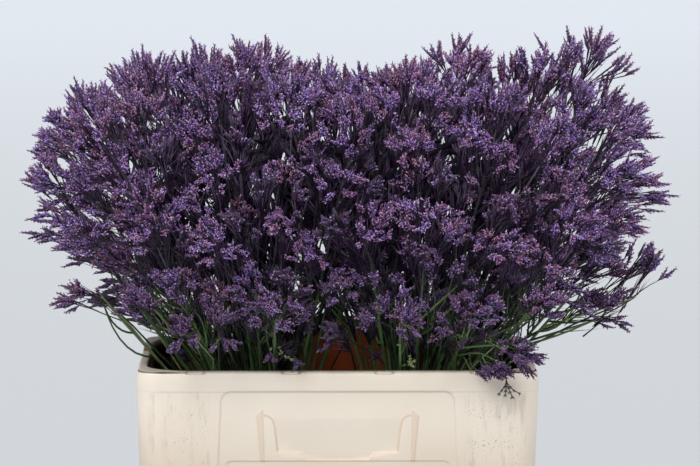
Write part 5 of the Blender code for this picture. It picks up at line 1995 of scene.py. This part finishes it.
class STATICE_OT_combs(bpy.types.Operator):
    """Builds the full body of each comb."""

    bl_idname = "statice.combs"
    bl_label = "Build combs"

    def execute(self, context):
        sprays, _, groups = layout()
        material = spindle_material(context.scene.statice_flowers)
        for owner, spray in enumerate(sprays):
            parts = [fine.spindles(owner) for fine in groups if (fine.owner == owner).any()]
            corners, faces = join_shapes([part[:2] for part in parts])
            values = {key: np.concatenate([part[2][key] for part in parts]) for key in parts[0][2]}
            spray_piece(spray, "combs", (corners, faces, values), material)
        return {"FINISHED"}


class STATICE_OT_bin(bpy.types.Operator):
    """Builds the bin with its grip panels, rim and tabs, and the lining inside it."""

    bl_idname = "statice.bin"
    bl_label = "Build bin"

    def execute(self, context):
        look = context.scene.statice_bin
        corners, faces, values = fine_bin_shape()
        cream = bin_material(look)
        mesh_piece("flower_bin", corners, faces, cream, nodes=["bin_shell"], values=values)
        corners, faces = fine_lining_shape()
        brown = lining_material(look)
        mesh_piece("flower_bin_lining", corners, faces, brown, nodes=["bin_lining"])
        return {"FINISHED"}


class STATICE_OT_stage(bpy.types.Operator):
    """Sets the floor, the soft lights, the surrounding light and the photograph's camera."""

    bl_idname = "statice.stage"
    bl_label = "Set the stage"

    def execute(self, context):
        scene = context.scene
        look = scene.statice_stage
        mesh = bpy.data.meshes.new("studio_floor")
        corners = [(x * FLOOR_HALF, y * FLOOR_HALF, FLOOR_Z) for x, y in ((-1, -1), (1, -1), (1, 1), (-1, 1))]
        mesh.from_pydata(corners, [], [(0, 1, 2, 3)])
        mesh.materials.append(floor_material(look))
        floor = bpy.data.objects.new("studio_floor", mesh)
        scene.collection.objects.link(floor)
        for name, strength, angle, turn in LIGHTS:
            light = bpy.data.lights.new(name, "SUN")
            light.energy = getattr(look, strength)
            light.angle = math.radians(angle)
            lamp = bpy.data.objects.new(name, light)
            lamp.rotation_euler = [math.radians(a) for a in turn]
            scene.collection.objects.link(lamp)
        world = bpy.data.worlds.new("studio")
        world.use_nodes = True
        back = world.node_tree.nodes["Background"]
        back.inputs["Color"].default_value = linear("#dfe4ea")
        back.inputs["Strength"].default_value = look.sky
        scene.world = world
        scene.view_settings.view_transform = "Standard"
        data = bpy.data.cameras.new("photo_camera")
        data.sensor_width = SENSOR_MM
        data.lens = SENSOR_MM * FOCAL_PIXELS / IMAGE_WIDTH
        camera = bpy.data.objects.new("photo_camera", data)
        pitch = math.atan((IMAGE_HEIGHT / 2 - HORIZON_ROW) / FOCAL_PIXELS)
        yaw = math.atan((IMAGE_WIDTH / 2 - VANISHING_COLUMN) / FOCAL_PIXELS)
        camera.location = (CAMERA_SIDE, -CAMERA_BACK, BIN_HEIGHT + CAMERA_ABOVE_RIM)
        camera.rotation_euler = (math.pi / 2 - pitch, 0.0, -yaw)
        scene.collection.objects.link(camera)
        scene.camera = camera
        return {"FINISHED"}


class STATICE_PT_panel(bpy.types.Panel):
    """Colours and the build steps."""

    bl_idname = "STATICE_PT_panel"
    bl_label = "Dried statice"
    bl_space_type = "VIEW_3D"
    bl_region_type = "UI"
    bl_category = "Statice"

    def draw(self, context):
        for name, look in LOOKS.items():
            box = self.layout.box()
            for key in look.__annotations__:
                box.prop(getattr(context.scene, name), key)
        for operator in ("statice.stems", "statice.florets", "statice.combs", "statice.bin", "statice.stage"):
            self.layout.operator(operator)


LOOKS = {
    "statice_flowers": StaticeFlowerLook,
    "statice_stems": StaticeStemLook,
    "statice_bin": StaticeBinLook,
    "statice_stage": StaticeStage,
}
CLASSES = (
    *LOOKS.values(),
    STATICE_OT_stems,
    STATICE_OT_florets,
    STATICE_OT_combs,
    STATICE_OT_bin,
    STATICE_OT_stage,
    STATICE_PT_panel,
)


def register():
    for cls in CLASSES:
        bpy.utils.register_class(cls)
    for name, look in LOOKS.items():
        setattr(bpy.types.Scene, name, PointerProperty(type=look))


def unregister():
    for name in LOOKS:
        delattr(bpy.types.Scene, name)
    for cls in reversed(CLASSES):
        bpy.utils.unregister_class(cls)


def main():
    register()
    bpy.ops.statice.stems()
    bpy.ops.statice.florets()
    bpy.ops.statice.combs()
    bpy.ops.statice.bin()
    bpy.ops.statice.stage()


if __name__ == "__main__":
    main()
